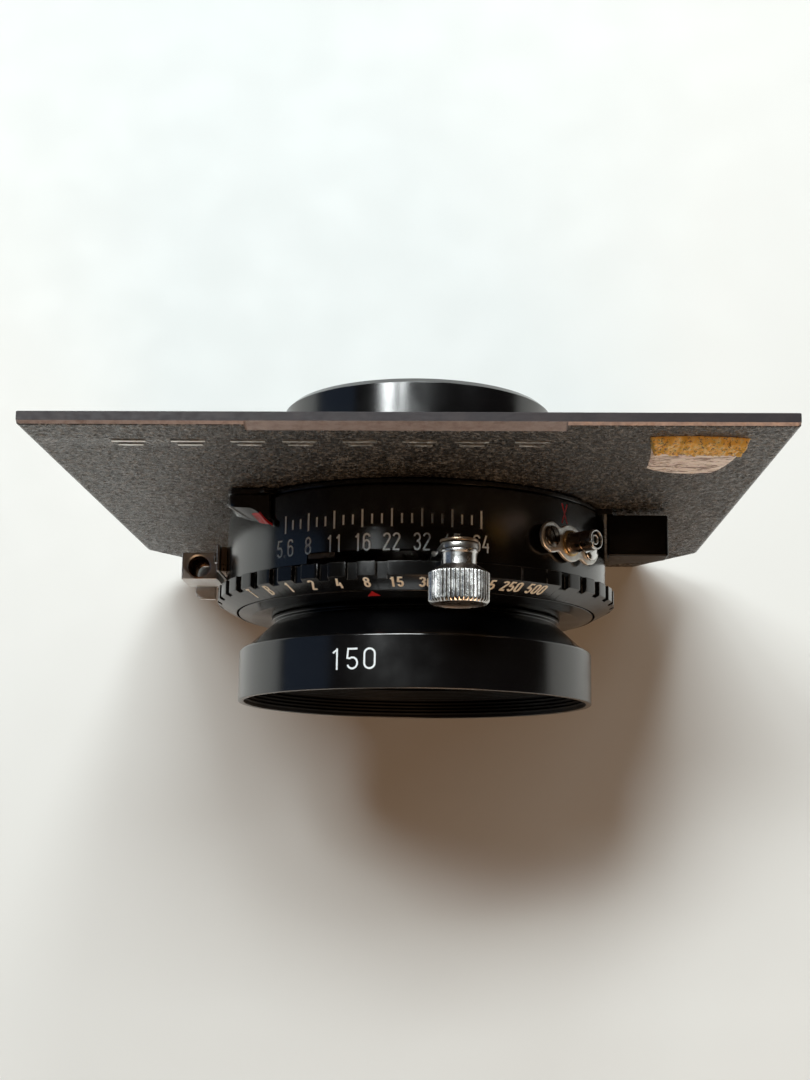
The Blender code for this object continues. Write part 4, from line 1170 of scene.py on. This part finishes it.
def make_cable_socket():
    low, high = (-36.1, -12.2, -3.5), (-30.52, -8.1, 4.0)
    centre = (-33.45, -10.25)
    corners = ((low[0], low[2]), (high[0], low[2]), (high[0], high[2]), (low[0], high[2]))
    shape = prism(rounded([(x, z, 0.2) for x, z in corners], 3), (high[1], low[1]))
    block = settle("cable_socket", shape, SATIN_SILVER, ROOT, "socket_block")
    bore = [(0.0, -5.0)]
    y = -5.0
    while y < 3.3:
        bore += [(1.42 + 0.03 * y, y), (1.54 + 0.03 * y, y + 0.22)]
        y += 0.44
    bore += [(1.66, 3.5), (1.68, 3.75), (2.0, 4.1), (2.0, 5.0), (0.0, 5.0)]
    cut(block, stand(turned(bore, 64), (*centre, 0.0)))
    block.data.materials.append(bright_metal("socket_bore", (0.22, 0.13, 0.075), 0.3, None, 0.4))

    def in_bore(spot):
        deep = low[2] + 0.01 < spot.z < high[2] - 0.01
        return deep and math.hypot(spot.x - centre[0], spot.y - centre[1]) < 1.7

    repaint(block, in_bore)
    soften(block, 0.1, 2, 60.0)
    corners = ((-30.4, -6.5), (-29.95, -6.5), (-29.95, 6.0), (-30.4, 6.0))
    shape = prism(rounded([(x, z, 0.1) for x, z in corners], 3), (-7.2, -11.3))
    plate = settle("socket_mounting_plate", shape, SATIN_SILVER, ROOT, "socket_plate")
    soften(plate, 0.1, 2, 60.0)
    seat = [(-29.85, 5.2), (-29.85, -5.6)]
    for z in spread(-5.6, 5.2, 24):
        seat.append((-math.sqrt((HOUSING_R + 0.06) ** 2 - z * z), z))
    shape = prism(seat, (-7.4, -11.2))
    packing = settle("socket_packing", shape, TARNISHED, ROOT, "socket_spacer")
    soften(packing, 0.06, 2, 60.0)
    sideways = Matrix.Rotation(math.radians(-90.0), 3, "Y")
    for k, z in enumerate((-5.0, 5.0)):
        head = [(0.0, 0.6), (0.9, 0.6), (0.9, 0.85, 0.1), (0.5, 1.05, 0.1), (0.0, 1.08)]
        shape = stand(turned(head, 40), (-29.9, -9.2, z), sideways)
        screw = settle(f"socket_plate_screw_{k + 1}", shape, CHROME, ROOT, f"socket_screw_{k + 1}")
        cut(screw, stand(saw_cut((0.6, 0.25, 4.0)), (-31.1, -9.2, z)))


def make_release():
    arm = [(-18.9, -13.6, 0.8), (-22.0, -14.9, 1.2), (-28.6, -8.6, 1.5), (-31.6, -5.1, 0.6)]
    arm += [(-33.0, -5.0, 0.2), (-33.0, -4.4, 0.2), (-30.2, -4.3, 0.8), (-27.4, -5.8, 1.5)]
    arm += [(-20.0, -11.2, 1.0)]
    shape = prism(rounded(arm, 6), (-11.45, -12.1))
    lever = settle("release_arm", shape, CHROME, "release_control", "release_lever")
    soften(lever, 0.12, 2, 40.0)
    pad = rounded([(-35.2, -8.9, 0.3), (-31.95, -8.9, 0.1), (-31.95, -14.1, 0.15), (-35.2, -14.1, 1.1)], 6)
    shape = bmesh.new()
    skin_rings(shape, [[shape.verts.new((x, y, z)) for x, y in pad] for z in (-4.3, -5.1)], False)
    piece = settle("release_pad", shape, SATIN_SILVER, "release_control")
    soften(piece, 0.15, 3, 40.0)
    pin = [(0.0, 0.0), (0.75, 0.0, 0.1), (0.75, 4.2, 0.1), (0.0, 4.25)]
    shape = stand(turned(pin, 32), (-20.6, -8.65, -13.0), FORWARD)
    settle("release_pivot", shape, STEEL, ROOT, "release_pivot_pin")


# Pieces kept from the frame


def dress_inner_pieces():
    blade = bright_metal("blade_steel", (0.09, 0.09, 0.095), 0.35, (1.0, 1.0, 0.1), 0.3)
    looks = {"retard": BRASS, "iris_blade": INNER_BLACK, "shutter_blade": blade}
    for name, node in frame["nodes"].items():
        if not node.hide_render:
            found = [look for start, look in looks.items() if name.startswith(start)]
            node.data.materials.clear()
            node.data.materials.append(found[0] if found else STEEL)


SOFT_SHADED = ("lens_board_body", "torn_paper_label", "cocking_knob_body")

# Camera, floor and light

CAMERA_AT = Vector((6.4188, -51.50997, 240.0849)) * MM
CAMERA_RIGHT = Vector((0.999422, 0.01200766, -0.03180366))
CAMERA_DOWN = Vector((0.00575632, -0.98180669, -0.18979589))
CAMERA_AHEAD = Vector((-0.03350405, 0.18950312, -0.98130833))


def make_camera():
    data = bpy.data.cameras.new("camera")
    data.lens = 52.0
    data.sensor_width = 36.0
    data.clip_start = 0.01
    camera = bpy.data.objects.new("camera", data)
    bpy.context.scene.collection.objects.link(camera)
    turn = Matrix((CAMERA_RIGHT, -CAMERA_DOWN, -CAMERA_AHEAD)).transposed()
    camera.matrix_world = Matrix.Translation(CAMERA_AT) @ turn.to_4x4()
    bpy.context.scene.camera = camera


def make_floor():
    look = Look("pale_table", (0.80, 0.815, 0.80), 0.55)
    look.stain((60.0, 3.0), (0.4, 0.7, 0.08), (0.78, 0.78, 0.75))
    look.rough(look.noise(9.0, 3.0), 0.5, 0.62)
    look.bump(look.noise(0.6, 2.0), 0.01, 0.3)
    shape = bmesh.new()
    level = BOARD_LOW[2] - 0.02
    reach = 1600.0
    corners = ((-reach, -reach), (reach, -reach), (reach, reach), (-reach, reach))
    shape.faces.new([shape.verts.new((x, y, level)) for x, y in corners])
    floor = settle("table_top", shape, look.material, None, flat=True)


def area_light(name, place, target, size, power, colour):
    data = bpy.data.lights.new(name, "AREA")
    data.shape = "RECTANGLE"
    data.size, data.size_y = (v * MM for v in size)
    data.energy = power
    data.color = colour
    lamp = bpy.data.objects.new(name, data)
    lamp.location = Vector(place) * MM
    way = Vector(target) * MM - lamp.location
    lamp.rotation_euler = way.to_track_quat("-Z", "Y").to_euler()
    bpy.context.scene.collection.objects.link(lamp)


def toward(azimuth, elevation):
    """Point one metre from the lens, by its degrees from straight behind it and above level."""
    flat = 1000.0 * math.cos(math.radians(elevation))
    side = math.radians(azimuth)
    return flat * math.sin(side), flat * math.cos(side), 1000.0 * math.sin(math.radians(elevation))


def make_light():
    lens = (0.0, 0.0, 0.0)
    daylight = (0.935, 0.985, 0.985)
    area_light("left_window", toward(-45.0, 59.0), lens, (220.0, 210.0), 3.2, daylight)
    area_light("high_window", toward(-27.0, 66.5), lens, (110.0, 120.0), 0.9, daylight)
    area_light("right_window", toward(44.0, 32.0), lens, (370.0, 300.0), 0.9, daylight)
    area_light("back_window", toward(-4.0, 60.0), lens, (400.0, 240.0), 5.0, daylight)
    area_light("low_window", toward(13.0, 43.0), lens, (200.0, 460.0), 2.0, daylight)
    area_light("far_wall", toward(-20.0, 17.0), lens, (1000.0, 160.0), 3.0, daylight)
    area_light("left_wall", (-900.0, 120.0, 300.0), lens, (900.0, 620.0), 0.28, (0.35, 0.6, 1.0))
    area_light("front_fill", (260.0, -820.0, 430.0), lens, (620.0, 420.0), 3.0, (1.0, 0.61, 0.35))
    world = bpy.data.worlds.new("world")
    world.use_nodes = True
    ground = world.node_tree.nodes["Background"]
    ground.inputs["Color"].default_value = (0.5, 0.28, 0.12, 1.0)
    ground.inputs["Strength"].default_value = 0.025
    bpy.context.scene.world = world
    bpy.context.scene.view_settings.view_transform = "Standard"


make_camera()
make_board()
make_board_marks()
make_label()
make_housing()
make_speed_ring()
make_front_plates()
make_cells()
make_retaining_ring()
make_aperture_control()
make_cocking()
make_blade_open_lever()
make_sync_terminal()
make_cable_socket()
make_release()
dress_inner_pieces()
for built in bpy.context.scene.objects:
    if built.type == "MESH" and built.name not in frame["nodes"] and built.name not in SOFT_SHADED:
        flatten_shading(built)
make_floor()
make_light()
